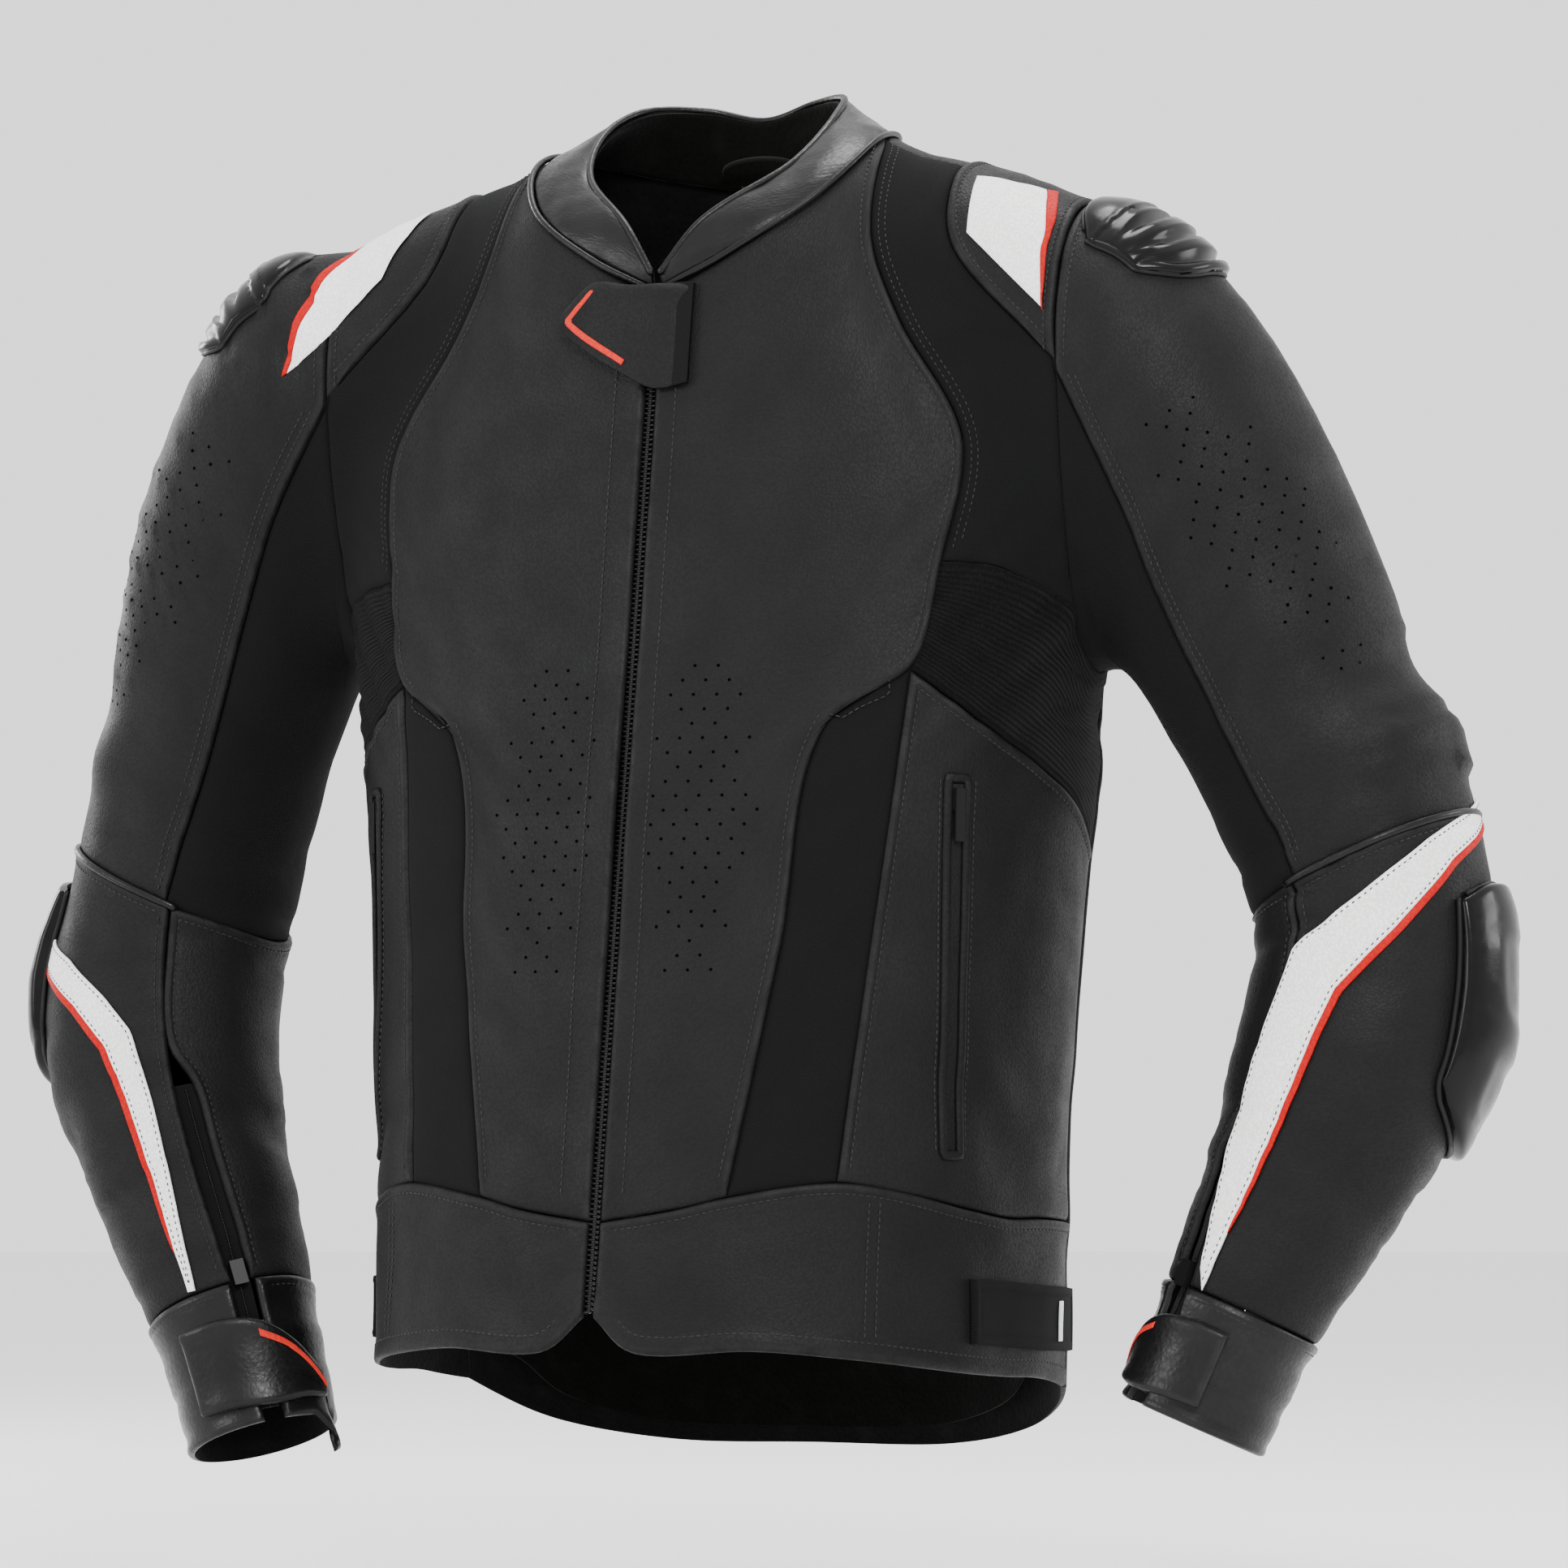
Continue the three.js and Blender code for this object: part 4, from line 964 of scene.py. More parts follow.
def collar():
    """The shell with its rounded rim, the knitted lining and the piping of the brim."""
    rim = np.array([0, 0.5, 1.3, 2.4])
    soften = np.array([1.0, 0.45, 0.12, 0])
    outer, inner = collar_grid(0.3, 1.2, 0.3, rings=19), collar_grid(3.4, 1.2, 0.3, rings=19)
    inward = inner - outer
    inward /= np.linalg.norm(inward, axis=2, keepdims=True)
    outer[:, -4:] += inward[:, -4:] * soften[::-1, None]
    outer[:, :4] += inward[:, :4] * soften[:, None] * 0.9
    outer[:4] += inward[:4] * soften[:, None, None] * 0.9
    outer[-4:] += inward[-4:] * soften[::-1, None, None] * 0.9
    flat = outer.reshape(-1, 3)
    folds = 0.7 * ripple(flat, 46, 31) + 0.25 * ripple(flat, 17, 32)
    outer -= inward * folds.reshape(outer.shape[:2])[..., None]
    inner -= inward * folds.reshape(outer.shape[:2])[..., None] * 0.5
    body = shell_between("collar_shell_leather", outer, inner, [MAT["gloss"], MAT["inside"]])
    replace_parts(TORSO.put(body, "gloss_leather"), "collar_shell")
    outer, inner = collar_grid(4.0, 1.2, 1.0, rings=13), collar_grid(5.6, 1.2, 1.0, rings=13)
    lining = shell_between("collar_lining_knit", outer, inner, [MAT["lining"]])
    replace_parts(TORSO.put(lining, "lining"), "collar_lining")
    brim = collar_grid(0.5, 0, 0, around=230, rings=2)[:, -1]
    inside = collar_grid(3.0, 0, 0, around=230, rings=2)[:, -1] - brim
    add_to(TRIM, TORSO, MAT["gloss"], *tube(brim + inside * 0.45, 1.9, 8, 1.0, -inside))


collar()
pipe(TORSO, NECK.line, 1.7, 0.9)

# ---- the panels
GUIDES = {}  # the ray functions and the places of each side, kept for the later sections


def dome(u, v, power=0.6):
    """1 in the middle of a patch, 0 round its border."""
    return np.abs(np.sin(math.pi * u) * np.sin(math.pi * v)) ** power


def diagonal_ribs(grid):
    """Raised slanting folds across the elastic panel under the arm."""
    x, z = np.abs(grid[..., 0]), grid[..., 2]
    phase = (z + 0.9 * x) / 15.5 * 2 * math.pi
    return 1.1 * (0.5 + 0.5 * np.sin(phase)) ** 3 * bump(z, -262, 46)


for side, k in SIDES.items():
    def F(x, z, k=k):
        return cast([k * x, 5, z], [0, -1, 0])

    def B(x, z, k=k):
        return cast([k * x, 5, z], [0, 1, 0])

    def T(x, y, k=k):
        return cast([k * x, y, -90], [0, 0, 1])

    def U(x, y, k=k):
        return cast([k * x, y, -190], [0, 0, -1])

    def S(y, z, k=k):
        return cast([0, y, z], [k, 0, 0])

    def A(station, angle, k=k):
        return sleeve(k, station, angle)

    elbow_point, elbow_axis = (np.array(v, float) for v in ELBOW[side])

    def depth_of(p):
        return (p - elbow_point) @ elbow_axis

    def above(points):
        """The part of a line above the elbow seam, ending on it."""
        d = depth_of(points)
        i = int(np.nonzero(d > 0)[0][0])
        t = d[i - 1] / (d[i - 1] - d[i])
        return np.vstack([points[:i], points[i - 1] + t * (points[i] - points[i - 1])])

    def below(points):
        d = depth_of(points)
        i = int(np.nonzero(d > 0)[0][0])
        if i == 0:
            return points
        t = d[i - 1] / (d[i - 1] - d[i])
        return np.vstack([points[i - 1] + t * (points[i] - points[i - 1]), points[i:]])

    upper, fore = f"upper_sleeve_{side}", f"forearm_{side}"
    SLEEVE_TOP = Place(f"sleeve_top_{side}", "torso", upper, (k * ARMHOLE, 0, 0), (k * SHOULDER_END, 0, 0))
    bend_start = elbow_point - ELBOW_BEND * elbow_axis
    SLEEVE_LOW = Place(f"sleeve_low_{side}", upper, fore, tuple(bend_start), tuple(elbow_point))
    FOREARM = Place(f"forearm_{side}", fore)

    chest = Seam(neck_point(k, 3), F(106, -49), F(123, -89), F(156, -149), F(150, -211), F(139, -263),
                 F(103, -288), F(84.5, -405), F(66, -522))
    shoulder = Seam(T(136, -4), T(136, -22), F(143, -49), F(194, -106))
    hole_front = Seam(F(194, -106), F(200, -150), F(200, -211), U(200, -22))

    front = panel(f"front_panel_{side}", "leather", [
        line(F(ZIP_EDGE, -72), F(ZIP_EDGE, -180), F(ZIP_EDGE, -300), F(ZIP_EDGE, -420), F(ZIP_EDGE, -534)),
        line(neck_point(k, 1), F(70, -160), F(54, -300), F(36, -529)),
        line(neck_point(k, 2), F(106, -110), F(118, -165), F(98, -262), F(80, -310), F(52, -526)),
        chest.line,
    ], ("roll", "fold", "tuck", "tuck"), 4.6, sewn=[1])
    path, h = front.edge(0, 11.5 if k > 0 else 16)
    stitch(TORSO, path, 0.15)

    panel(f"front_stretch_{side}", "cloth", [
        chest.part(6, 8),
        line(F(138, -265), F(126, -390), F(114, -515)),
    ], TUCKED, 6)

    yoke_front = panel(f"shoulder_stretch_{side}", "cloth", [
        chest.part(0, 4),
        line(T(112, -4), T(117, -20), F(126, -49), F(160, -106), F(176, -150), F(173, -213)),
        np.vstack([shoulder.line, hole_front.part(0, 3)[1:]]),
    ], TUCKED, 5)
    for off in (3.4, 6.6):
        path, h = yoke_front.edge(0, off)
        stitch(TORSO, path, h + 0.05, size=0.85)

    side_top = [F(138, -265), F(168, -291), S(-31, -309), S(-3, -323), S(47, -351)]
    arm_under = [chest.part(4, 5)[0], F(173, -213), U(200, -22), U(200, 15), U(200, 47)]
    panel(f"underarm_panel_{side}", "mesh", [
        line(a, on_shell((a + b) / 2), b) for a, b in zip(arm_under, side_top)
    ], TUCKED, 3.6, relief=diagonal_ribs)

    # thin strips of cloth behind the seams, so that nothing shows through between two panels
    armhole = line(F(192, -104), *(F(200, z) for z in (-116, -168, -212)), *(U(200, y) for y in (-34, 15, 47)))
    for title, path, width in (
        ("armhole", armhole, 9),
        ("underarm", line(*arm_under[:3]), 8),
        ("chest", chest.part(3, 8), 7),
        ("flank", line(F(138, -265), F(126, -390), F(114, -515)), 7),
    ):
        normal = normals_at(path)
        aside = np.cross(tangents(path), normal)
        columns = [on_shell(path + w * aside) for w in (-width, 0, width)]
        layer(f"{title}_facing_{side}", TORSO, columns, "stretch", "stretch_fabric", 4.5, -2.35, 0.8)

    side_end = [F(114, -515), F(160, -528), S(-30, -533), S(-3, -533), S(47, -535)]
    panel(f"side_panel_{side}", "leather", [
        line(a, on_shell(a * 0.67 + b * 0.33), on_shell(a * 0.33 + b * 0.67), b)
        for a, b in zip(side_top, side_end)
    ], ("fold", "tuck", "fold", "tuck"), 4.6, sewn=[0, 2])

    hem = [F(ZIP_EDGE, -580), F(24, -597), F(80, -596), F(120, -600), F(158, -608),
           S(-30, -611), S(-3, -612), S(47, -618)]
    band = [F(ZIP_EDGE, -534), F(36, -529), F(66, -522), *side_end]
    panel(f"waist_panel_{side}", "leather", [
        line(a, on_shell((a + b) / 2), b) for a, b in zip(band, hem)
    ], ("roll", "fold", "fold", "hem"), 4.6, sewn=[2, 3])
    for x in (127, 131):
        stitch(TORSO, line(F(x, -524), F(x, -560), F(x, -592)), 0.2)

    cap_inner = Seam(F(194, -106), F(143, -49), T(136, -22), T(136, -4), B(142, -40), B(192, -100))
    panel(f"shoulder_panel_{side}", "leather", [
        cap_inner.line,
        line(F(200, -112), F(200, -66), T(200, -15), T(200, 12), B(200, -58), B(200, -106)),
    ], ("fold", "fold", "tuck", "tuck"), 4.6, sewn=[0, 1])

    # upper sleeve: leather outside and stretch inside, each cut once above the elbow
    seam_front = above(line(F(200, -116), A(3.9, -16), A(4.6, -21), A(5.7, -24), A(6.6, -20), A(7.5, -19)))
    seam_back = above(line(B(200, -112), A(4.3, 195), A(5.7, 195), A(7.6, 195)))
    outer = Cloth(f"upper_sleeve_outer_{side}_leather", [
        seam_front,
        above(line(F(200, -66), A(3.8, 20), A(4.6, 18), A(5.5, 15), A(7.5, 15))),
        above(line(T(200, -20), A(3.6, 58), A(4.6, 56), A(5.5, 55), A(7.6, 55))),
        above(line(T(200, 14), A(3.5, 90), A(4.6, 90), A(5.5, 90), A(7.8, 90))),
        above(line(T(200, 44), A(3.6, 122), A(4.6, 124), A(5.5, 125), A(7.8, 125))),
        above(line(B(200, -66), A(3.9, 158), A(4.6, 160), A(5.5, 160), A(7.8, 160))),
        seam_back,
    ], ("fold", "fold", "fold", "tuck"), cell=4.8)
    inner = Cloth(f"upper_sleeve_inner_{side}_cloth", [
        seam_front,
        above(line(F(200, -168), A(4.7, -48), A(6, -48), A(7.5, -48))),
        above(line(U(200, -34), A(4.9, -78), A(6, -80), A(7.5, -80))),
        above(line(U(200, 15), A(5.0, -102), A(6, -108), A(7.5, -108))),
        above(line(B(200, -176), A(4.8, -135), A(6, -136), A(7.5, -136))),
        seam_back,
    ], TUCKED, cell=5.4)

    def split_row(cloth):
        """The first row that lies wholly within the rigid stretch above the elbow."""
        d = depth_of(cloth.grid.reshape(-1, 3)).reshape(cloth.grid.shape[:2])
        return int(np.argmin(np.abs(d.mean(0) + SPLIT_ABOVE_ELBOW)))

    halves = [SLEEVE_TOP, SLEEVE_LOW]
    outer.build(halves, BACKED, "leather", [f"upper_sleeve_outer_{side}"], split_row(outer))
    inner.build(halves, CLOTH, "stretch_fabric", [f"upper_sleeve_inner_{side}"], split_row(inner))

    def both_sleeves(path, sew):
        """Sews a line that runs down the sleeve, changing places where the panels are cut."""
        d = depth_of(path) + SPLIT_ABOVE_ELBOW
        for place, keep in ((SLEEVE_TOP, d < 0), (SLEEVE_LOW, d >= 0)):
            if keep.sum() > 3:
                sew(place, path[keep])

    for cloth, which, offs in ((outer, 0, (5.3, 8.6)), (outer, 1, (5.3,)), (outer, 2, (5.3,))):
        for off in offs:
            path, h = cloth.edge(which, off)
            both_sleeves(path, lambda place, p, h=h: stitch(place, p, h + 0.12))

    # forearm
    cuff, wrist = 10.05, 11

    def strip(a):
        return below(line(A(6.3, a), A(7.4, a), A(8.6, a), A(9.4, a), A(cuff, a)))

    zip_front = below(line(A(6.3, -19), A(7.4, -24), A(8.6, -31), A(9.4, -31.5), A(cuff, -31.5)))
    zip_rear = below(line(A(6.3, -19), A(7.4, -24), A(8.6, -31), A(8.95, -41), A(9.4, -44), A(cuff, -45)))
    panel(f"forearm_outer_{side}", "leather", [zip_front, *map(strip, (10, 42, 72, 102, 132, 162, 195))],
          ("fold", "fold", "fold", "tuck"), 4.6, sewn=[0, 1, 2], place=FOREARM)
    panel(f"forearm_inner_{side}", "leather", [zip_rear, *map(strip, (-80, -110, -138, -165))],
          ("fold", "tuck", "fold", "tuck"), 4.8, sewn=[0, 2], place=FOREARM)
    welt = Seam(*[
        below(line(A(6.3, a), A(7.4, a), A(8.0, a)))[0] for a in (-24, 10, 42, 72, 102, 132, 162, 190)
    ])
    pipe(FOREARM, welt.line, 2.1, 0.5)

    def gathers(grid):
        """Creases that run round the wrist."""
        station = arm_near(grid.reshape(-1, 3), side)[1].reshape(grid.shape[:2])
        return 0.8 * crease(station * 19 + ripple(grid, 60, 12))

    panel(f"cuff_band_{side}", "gloss", [
        line(A(cuff, a), A((cuff + wrist) / 2, a), A(wrist, a))
        for a in (-31, 5, 40, 75, 110, 145, 180, 215, 250, 285, 313)
    ], ("roll", "roll", "fold", "roll"), 4.0, sewn=[2], place=FOREARM, relief=gathers)

    tab = Cloth(f"cuff_tab_{side}_leather", [
        line(A(s0, a), A(s1, a)) for s0, s1, a in
        ((10.25, 10.85, 15), (10.25, 10.87, -15), (10.3, 10.9, -42), (10.46, 10.88, -66), (10.72, 10.88, -88))
    ], ("roll", "roll", "roll", "roll"), cell=3.2, lift=3.4, thick=1.4)
    TAB = Place(f"cuff_tab_{side}", f"cuff_tab_{side}")
    tab.build([TAB], [MAT["gloss"], MAT["tape"]], "gloss_leather", [f"cuff_tab_{side}"])
    stitch(TAB, line(A(10.3, 6), A(10.8, 6)), 3.6)
    layer(f"cuff_tab_trim_{side}", TAB, [
        line(A(10.37, -40), A(10.47, -58), A(10.60, -72), A(10.77, -86)),
        line(A(10.42, -40), A(10.52, -58), A(10.65, -72), A(10.82, -86)),
    ], "orange", "gloss_leather", 2.6, 5.0, 0.5)

    # ---- pocket welt: two lips, two rows of stitching and the tape of a covered zip
    start, end = F(158, -318), F(155, -502)
    mid = on_shell((start + end) / 2)
    axis = line(start, mid, end)
    up = normals_at(axis)
    t = tangents(axis)
    across = np.cross(t, up)
    loop = []
    for sgn, run in ((1, slice(None)), (-1, slice(None, None, -1))):
        loop.append((axis + sgn * 5.4 * across)[run])
    lip = even(np.vstack([*loop, loop[0][:1]]), 2.5)[:-1]
    lip_up = normals_at(on_shell(lip))
    lip = on_shell(lip) + lip_up * (drape(on_shell(lip)) + 0.55)[:, None]
    add_to(TRIM, TORSO, MAT["leather"], *tube(lip, 2.5, 10, 0.62, lip_up, closed=True))
    for sgn in (1, -1):
        stitch(TORSO, on_shell(axis + sgn * 9.6 * across), 0.15)
    columns = [on_shell(axis + s * across)[4:-4] for s in (-3.4, 0, 3.4)]
    layer(f"pocket_zip_{side}_tape", TORSO, columns, "tape", "zip_tape", 3, -0.9, 1.0, [f"pocket_zip_{side}"])

    # ---- waist strap with a small white tab
    strap = Cloth(f"waist_strap_{side}_webbing", [
        line(F(160, -562), F(160, -594)),
        *(line(S(y, z), S(y, z - 32)) for y, z in ((-30, -564), (-3, -566), (24, -567), (48, -568))),
    ], ("fold", "fold", "fold", "fold"), cell=4.0, lift=2.6, thick=1.8, gap=0)
    STRAP = Place(f"waist_strap_{side}", f"waist_strap_{side}")
    strap.build([STRAP], [MAT["stretch"], MAT["tape"]], "stretch_fabric", [f"waist_strap_{side}"])
    columns = [line(S(y, -574), S(y, -594)) for y in (14, 18.5)]
    layer(f"waist_tab_{side}_white", STRAP, columns, "white", "leather", 2, 4.6, 1.0)

    GUIDES[side] = SimpleNamespace(F=F, B=B, T=T, U=U, S=S, A=A, top=SLEEVE_TOP, low=SLEEVE_LOW, fore=FOREARM)

# ---- back
LB, RB = GUIDES["left"], GUIDES["right"]


def both(make_columns):
    """Columns from the right side across to the left."""
    right = make_columns(-1, RB)
    left = make_columns(1, LB)
    return [*right[:0:-1], *left]


panel("back_yoke", "leather", both(lambda k, g: [
    line(neck_point(k, 6), g.B(0, -60), g.B(0, -140), g.B(0, -215)),
    line(neck_point(k, 5), g.B(54, -60), g.B(60, -140), g.B(62, -215)),
    line(neck_point(k, 4), g.B(92, -50), g.B(110, -130), g.B(118, -215)),
    line(neck_point(k, 3), g.T(108, 36), g.B(130, -70), g.B(152, -150), g.B(160, -215)),
    line(g.T(136, -4), g.B(142, -40), g.B(176, -82), g.B(192, -108), g.B(199.5, -160), g.B(199.5, -215)),
]), ("tuck", "tuck", "tuck", "fold"), 5, sewn=[3])


def pleats(grid):
    """Level folds across the elastic band of the back."""
    z = grid[..., 2]
    return 1.3 * (0.5 + 0.5 * np.sin(z / 13 * 2 * math.pi)) ** 2 * bump(z, -250, 30)


panel("back_stretch", "back_mesh", both(lambda k, g: [
    line(g.B(0, -215), g.B(0, -285)),
    line(g.B(80, -215), g.B(80, -288)),
    line(g.B(160, -215), g.B(150, -300)),
    line(g.B(199.5, -215), g.B(196, -255), g.U(199.5, 47)),
]), TUCKED, 4.5, relief=pleats)
panel("back_panel", "leather", both(lambda k, g: [
    line(g.B(0, -285), g.B(0, -400), g.B(0, -520), g.B(0, -652)),
    line(g.B(80, -288), g.B(80, -400), g.B(80, -520), g.B(80, -651)),
    line(g.B(150, -300), g.B(144, -400), g.B(138, -520), g.B(134, -640)),
    line(g.U(199.5, 47), g.S(47, -351), g.S(47, -440), g.S(47, -535), g.S(47, -618)),
]), ("fold", "fold", "fold", "hem"), 5, sewn=[0, 1, 2, 3])
for x in (-54, -50, 50, 54):
    stitch(TORSO, line(LB.B(x, -290), LB.B(x * 1.05, -420), LB.B(x * 1.1, -560), LB.B(x * 1.1, -640)), 0.2)
yoke_seam = line(*(LB.B(x, -215) for x in (-196, -118, -62, 0, 62, 118, 196)))
pipe(TORSO, yoke_seam, 1.3, 0.4)

# ---- inner layers
layer("torso_lining_knit", TORSO, both(lambda k, g: [
    line(g.B(0, -12), g.B(0, -200), g.B(0, -430), g.B(0, -642)),
    line(g.B(70, -34), g.B(76, -220), g.B(80, -430), g.B(80, -640)),
    line(g.B(130, -120), g.B(134, -280), g.B(132, -450), g.B(130, -628)),
    line(g.S(60, -310), g.S(60, -450), g.S(60, -604)),
    line(g.S(-20, -310), g.S(-20, -450), g.S(-20, -596)),
    line(g.F(140, -210), g.F(136, -400), g.F(130, -585)),
    line(g.F(90, -90), g.F(88, -330), g.F(80, -582)),
    line(g.F(18, -84), g.F(18, -330), g.F(18, -574)),
]), "lining", "lining", 9, -14, 1.9, ["torso_lining"])
spine = layer("back_protector_pad", TORSO, [
    line(LB.B(x, -60 - abs(x) * 0.4), LB.B(x * 0.9, -280), LB.B(x * 0.75, -500 + abs(x) * 0.3))
    for x in (-90, -50, 0, 50, 90)
], "pad", "armour_foam", 8, -4.6, 6.4, ["back_protector"],
    shape=lambda u, v: -0.9 * (0.5 + 0.5 * np.cos(v * 2 * math.pi * 11)) ** 4)

# ---- sliders, armour, patches and stripes on the sleeves
def rim_of(cloth, step):
    """The line round a shell's border."""
    a, b, c, d = cloth.borders
    loop = np.vstack([a[::step], d[::step], b[::-step], c[::-step]])
    apart = np.r_[True, np.linalg.norm(np.diff(loop, axis=0), axis=1) > 2]
    return line(*loop[apart])


def ridge(v, at, width):
    """A flat-topped ridge across a patch."""
    return np.exp(-(((v - at) / width) ** 4))


for side, k in SIDES.items():
    g = GUIDES[side]
    A, TOP, FORE = g.A, g.top, g.fore

    def slats(u, v):
        """A long facet and then three ribs with dark slots between them."""
        edge = np.clip(dome(u, v, 0.45) * 1.12, 0, 1)
        slots = sum(ridge(v, c, 0.032) for c in (0.47, 0.66, 0.84))
        return edge * (8.2 - 1.2 * v - 6.4 * np.clip(slots, 0, 1) * ridge(u, 0.52, 0.34))

    low = 0 if k > 0 else 0.3
    CAP = Place(f"shoulder_cap_{side}", "torso", f"upper_sleeve_{side}", TOP.start, TOP.end)
    cap = layer(f"shoulder_slider_{side}_shell", CAP, [
        line(A(s0 + low, a), A((s0 + s1) / 2 + low, a), A(s1 + low, a)) for s0, s1, a in
        ((2.52, 2.9, 44), (2.36, 3.04, 58), (2.3, 3.08, 78), (2.34, 3.06, 100), (2.5, 2.92, 118))
    ], "plastic", "hard_slider", 1.7, 1.0, 0.4, [f"shoulder_slider_{side}"], slats)
    pipe(CAP, rim_of(cap, 8), 1.2, 0.7, material=MAT["rubber"])

    def shield(u, v):
        body = 12.5 * np.clip(dome(u, v, 0.42), 0, 1)
        window = ridge(v, 0.36, 0.17) * ridge(u, 0.5, 0.3) + ridge(v, 0.72, 0.13) * ridge(u, 0.5, 0.27)
        return body - 2.6 * window + 0.7 * np.exp(-(((window - 0.5) / 0.22) ** 2))

    guard = layer(f"elbow_slider_{side}_shell", FORE, [
        line(A(s0, a), A((s0 + s1) / 2, a), A(s1, a)) for s0, s1, a in
        ((6.98, 8.1, 60), (6.88, 8.3, 76), (6.84, 8.4, 96), (6.86, 8.42, 116), (6.9, 8.36, 138), (7, 8.15, 158))
    ], "plastic", "hard_slider", 2.6, 2.4, 0.4, [f"elbow_slider_{side}"], shield)
    pipe(FORE, rim_of(guard, 10), 1.6, 1.5, material=MAT["rubber"])

    def grooves(u, v):
        """Five cut channels across a pad."""
        return -0.8 * (0.5 + 0.5 * np.cos(v * 2 * math.pi * 5)) ** 4

    RIDE = Place(f"upper_{side}", f"upper_sleeve_{side}")
    for armour, place, lift, thick, spans in (
        ("shoulder", RIDE, -7, 6,
         ((3.5, 4.6, 30), (3.5, 4.8, 60), (3.5, 4.8, 90), (3.5, 4.8, 120), (3.5, 4.6, 150))),
        ("elbow", FORE, -7.6, 5, ((7, 8.5, 50), (7, 8.7, 85), (7, 8.7, 120), (7, 8.7, 155), (7.1, 8.5, 185))),
    ):
        columns = [line(A(s0, a), A(s1, a)) for s0, s1, a in spans]
        node = f"{armour}_armour_{side}"
        pad = layer(f"{node}_pad", place, columns, "pad", "armour_foam", 7, lift, thick, [node], grooves)

    def patch(name, place, first, second, colour, lift, sewn=False, thick=0.5):
        """A flat strip of coloured leather between two lines."""
        strip = layer(name, place, [first, second], colour, "leather", 3.2, lift, thick)
        if sewn:
            for n in (0, 1):
                path, h = strip.edge(n, 1.9)
                stitch(place, path, h + 0.1, size=0.75)

    def corners(*points):
        """A line that runs straight between its points and turns sharply at each."""
        runs = [np.linspace(a, b, max(3, int(np.linalg.norm(np.subtract(b, a)) / 5)), endpoint=False)
                for a, b in zip(points, points[1:])]
        return on_shell(np.vstack([*runs, [points[-1]]]), 3)

    if k > 0:
        inner, outer = ((151, -41, -45), (147, -16, -13)), ((193, -48, -85), (181, -8, -21))
        rim = ((194, -49, -87), (186, -4, -21))
        upper_edge = [(386, 41, -327), (379, -15, -349), (352, -35, -375), (318, -35, -402),
                      (304, -38, -438), (288, -42, -489), (275, -54, -556)]
        lower_edge = [(388, 42, -337), (389, -6, -359), (368, -32, -392), (341, -44, -422),
                      (322, -50, -466), (302, -52, -512), (277, -57, -567)]
    else:
        inner, outer = ((-172, -41, -51), (-156, -12, -14)), ((-217, -48, -100), (-196, -9, -28))
        rim = ((-219, -48, -102), (-201, -9, -29))
        upper_edge = [(-376, -11, -387), (-350, -35, -401), (-326, -49, -420), (-311, -50, -437),
                      (-297, -51, -475), (-267, -60, -571)]
        lower_edge = [(-377, -16, -402), (-361, -34, -413), (-345, -46, -424), (-325, -52, -445),
                      (-309, -53, -479), (-271, -60, -572)]
    SHOULDER = TORSO if k > 0 else TOP
    patch(f"shoulder_patch_{side}_white", SHOULDER, corners(*inner), corners(*outer), "white", 1.3)
    patch(f"shoulder_stripe_{side}_red", SHOULDER, corners(*outer), corners(*rim), "red", 1.5)
    upper_edge, lower_edge = corners(*upper_edge), corners(*lower_edge)
    patch(f"forearm_stripe_{side}_white", FORE, upper_edge, lower_edge, "white", 1.7, sewn=True, thick=1.2)
    run = lengths_of(lower_edge)[-1]
    tail = sample(lower_edge, np.linspace(0, run * 0.9, 50))
    down = np.cross(normals_at(tail), tangents(tail))
    down *= np.sign((down * [0, 0, -1]).sum())
    width = 3.4 * np.sin(np.linspace(0.35, 1, 50) ** 1.6 * math.pi) ** 0.5 + 0.25
    foot = on_shell(tail + down * width[:, None])
    patch(f"forearm_stripe_{side}_red", FORE, tail, foot, "red", 1.85, thick=1.2)

    # cuff zip: tape and teeth in the opening above the wrist
    columns = [line(A(8.95, a), A(9.9, a), A(10.9, a)) for a in (-29, -37, -46)]
    layer(f"cuff_zip_{side}_tape", FORE, columns, "tape", "zip_tape", 4, -3.6, 1.0, [f"cuff_zip_{side}"])
    row = line(A(8.98, -37), A(9.9, -37.5), A(10.9, -38))
    stitch(FORE, row, -2.9, pitch=1.7, size=1.1, material=MAT["metal"])

# ---- main zip: woven tapes, two rows of interlocking teeth, flap over the top
def zip_at(z):
    """The main zip's line, at the height z."""
    return np.array([0, -79 + ZIP_LEAN * (z + 60), z])


zip_dir = np.array([0, -ZIP_LEAN, -1.0])
zip_dir /= np.linalg.norm(zip_dir)
zip_out = np.cross([1.0, 0, 0], zip_dir)
zip_out *= np.sign(-zip_out[1])


def tooth():
    """One moulded tooth: a foot on the tape, a neck and a rounded head."""
    outline = [(3.0, -0.55), (1.4, -0.55), (0.7, -0.4), (0.1, -0.85), (-0.75, -0.7), (-1.05, 0),
               (-0.75, 0.7), (0.1, 0.85), (0.7, 0.4), (1.4, 0.55), (3.0, 0.55)]
    verts, n = [], len(outline)
    for depth, shrink in ((-1.0, 0.85), (-0.7, 1.0), (0.7, 1.0), (1.0, 0.85)):
        verts += [(x if x > 2 else x * shrink, depth, z * shrink) for x, z in outline]
    faces = [[a + i, a + (i + 1) % n, a + n + (i + 1) % n, a + n + i] for a in (0, n, 2 * n) for i in range(n)]
    return np.array(verts), [list(range(n - 1, -1, -1)), *faces, [3 * n + i for i in range(n)]]


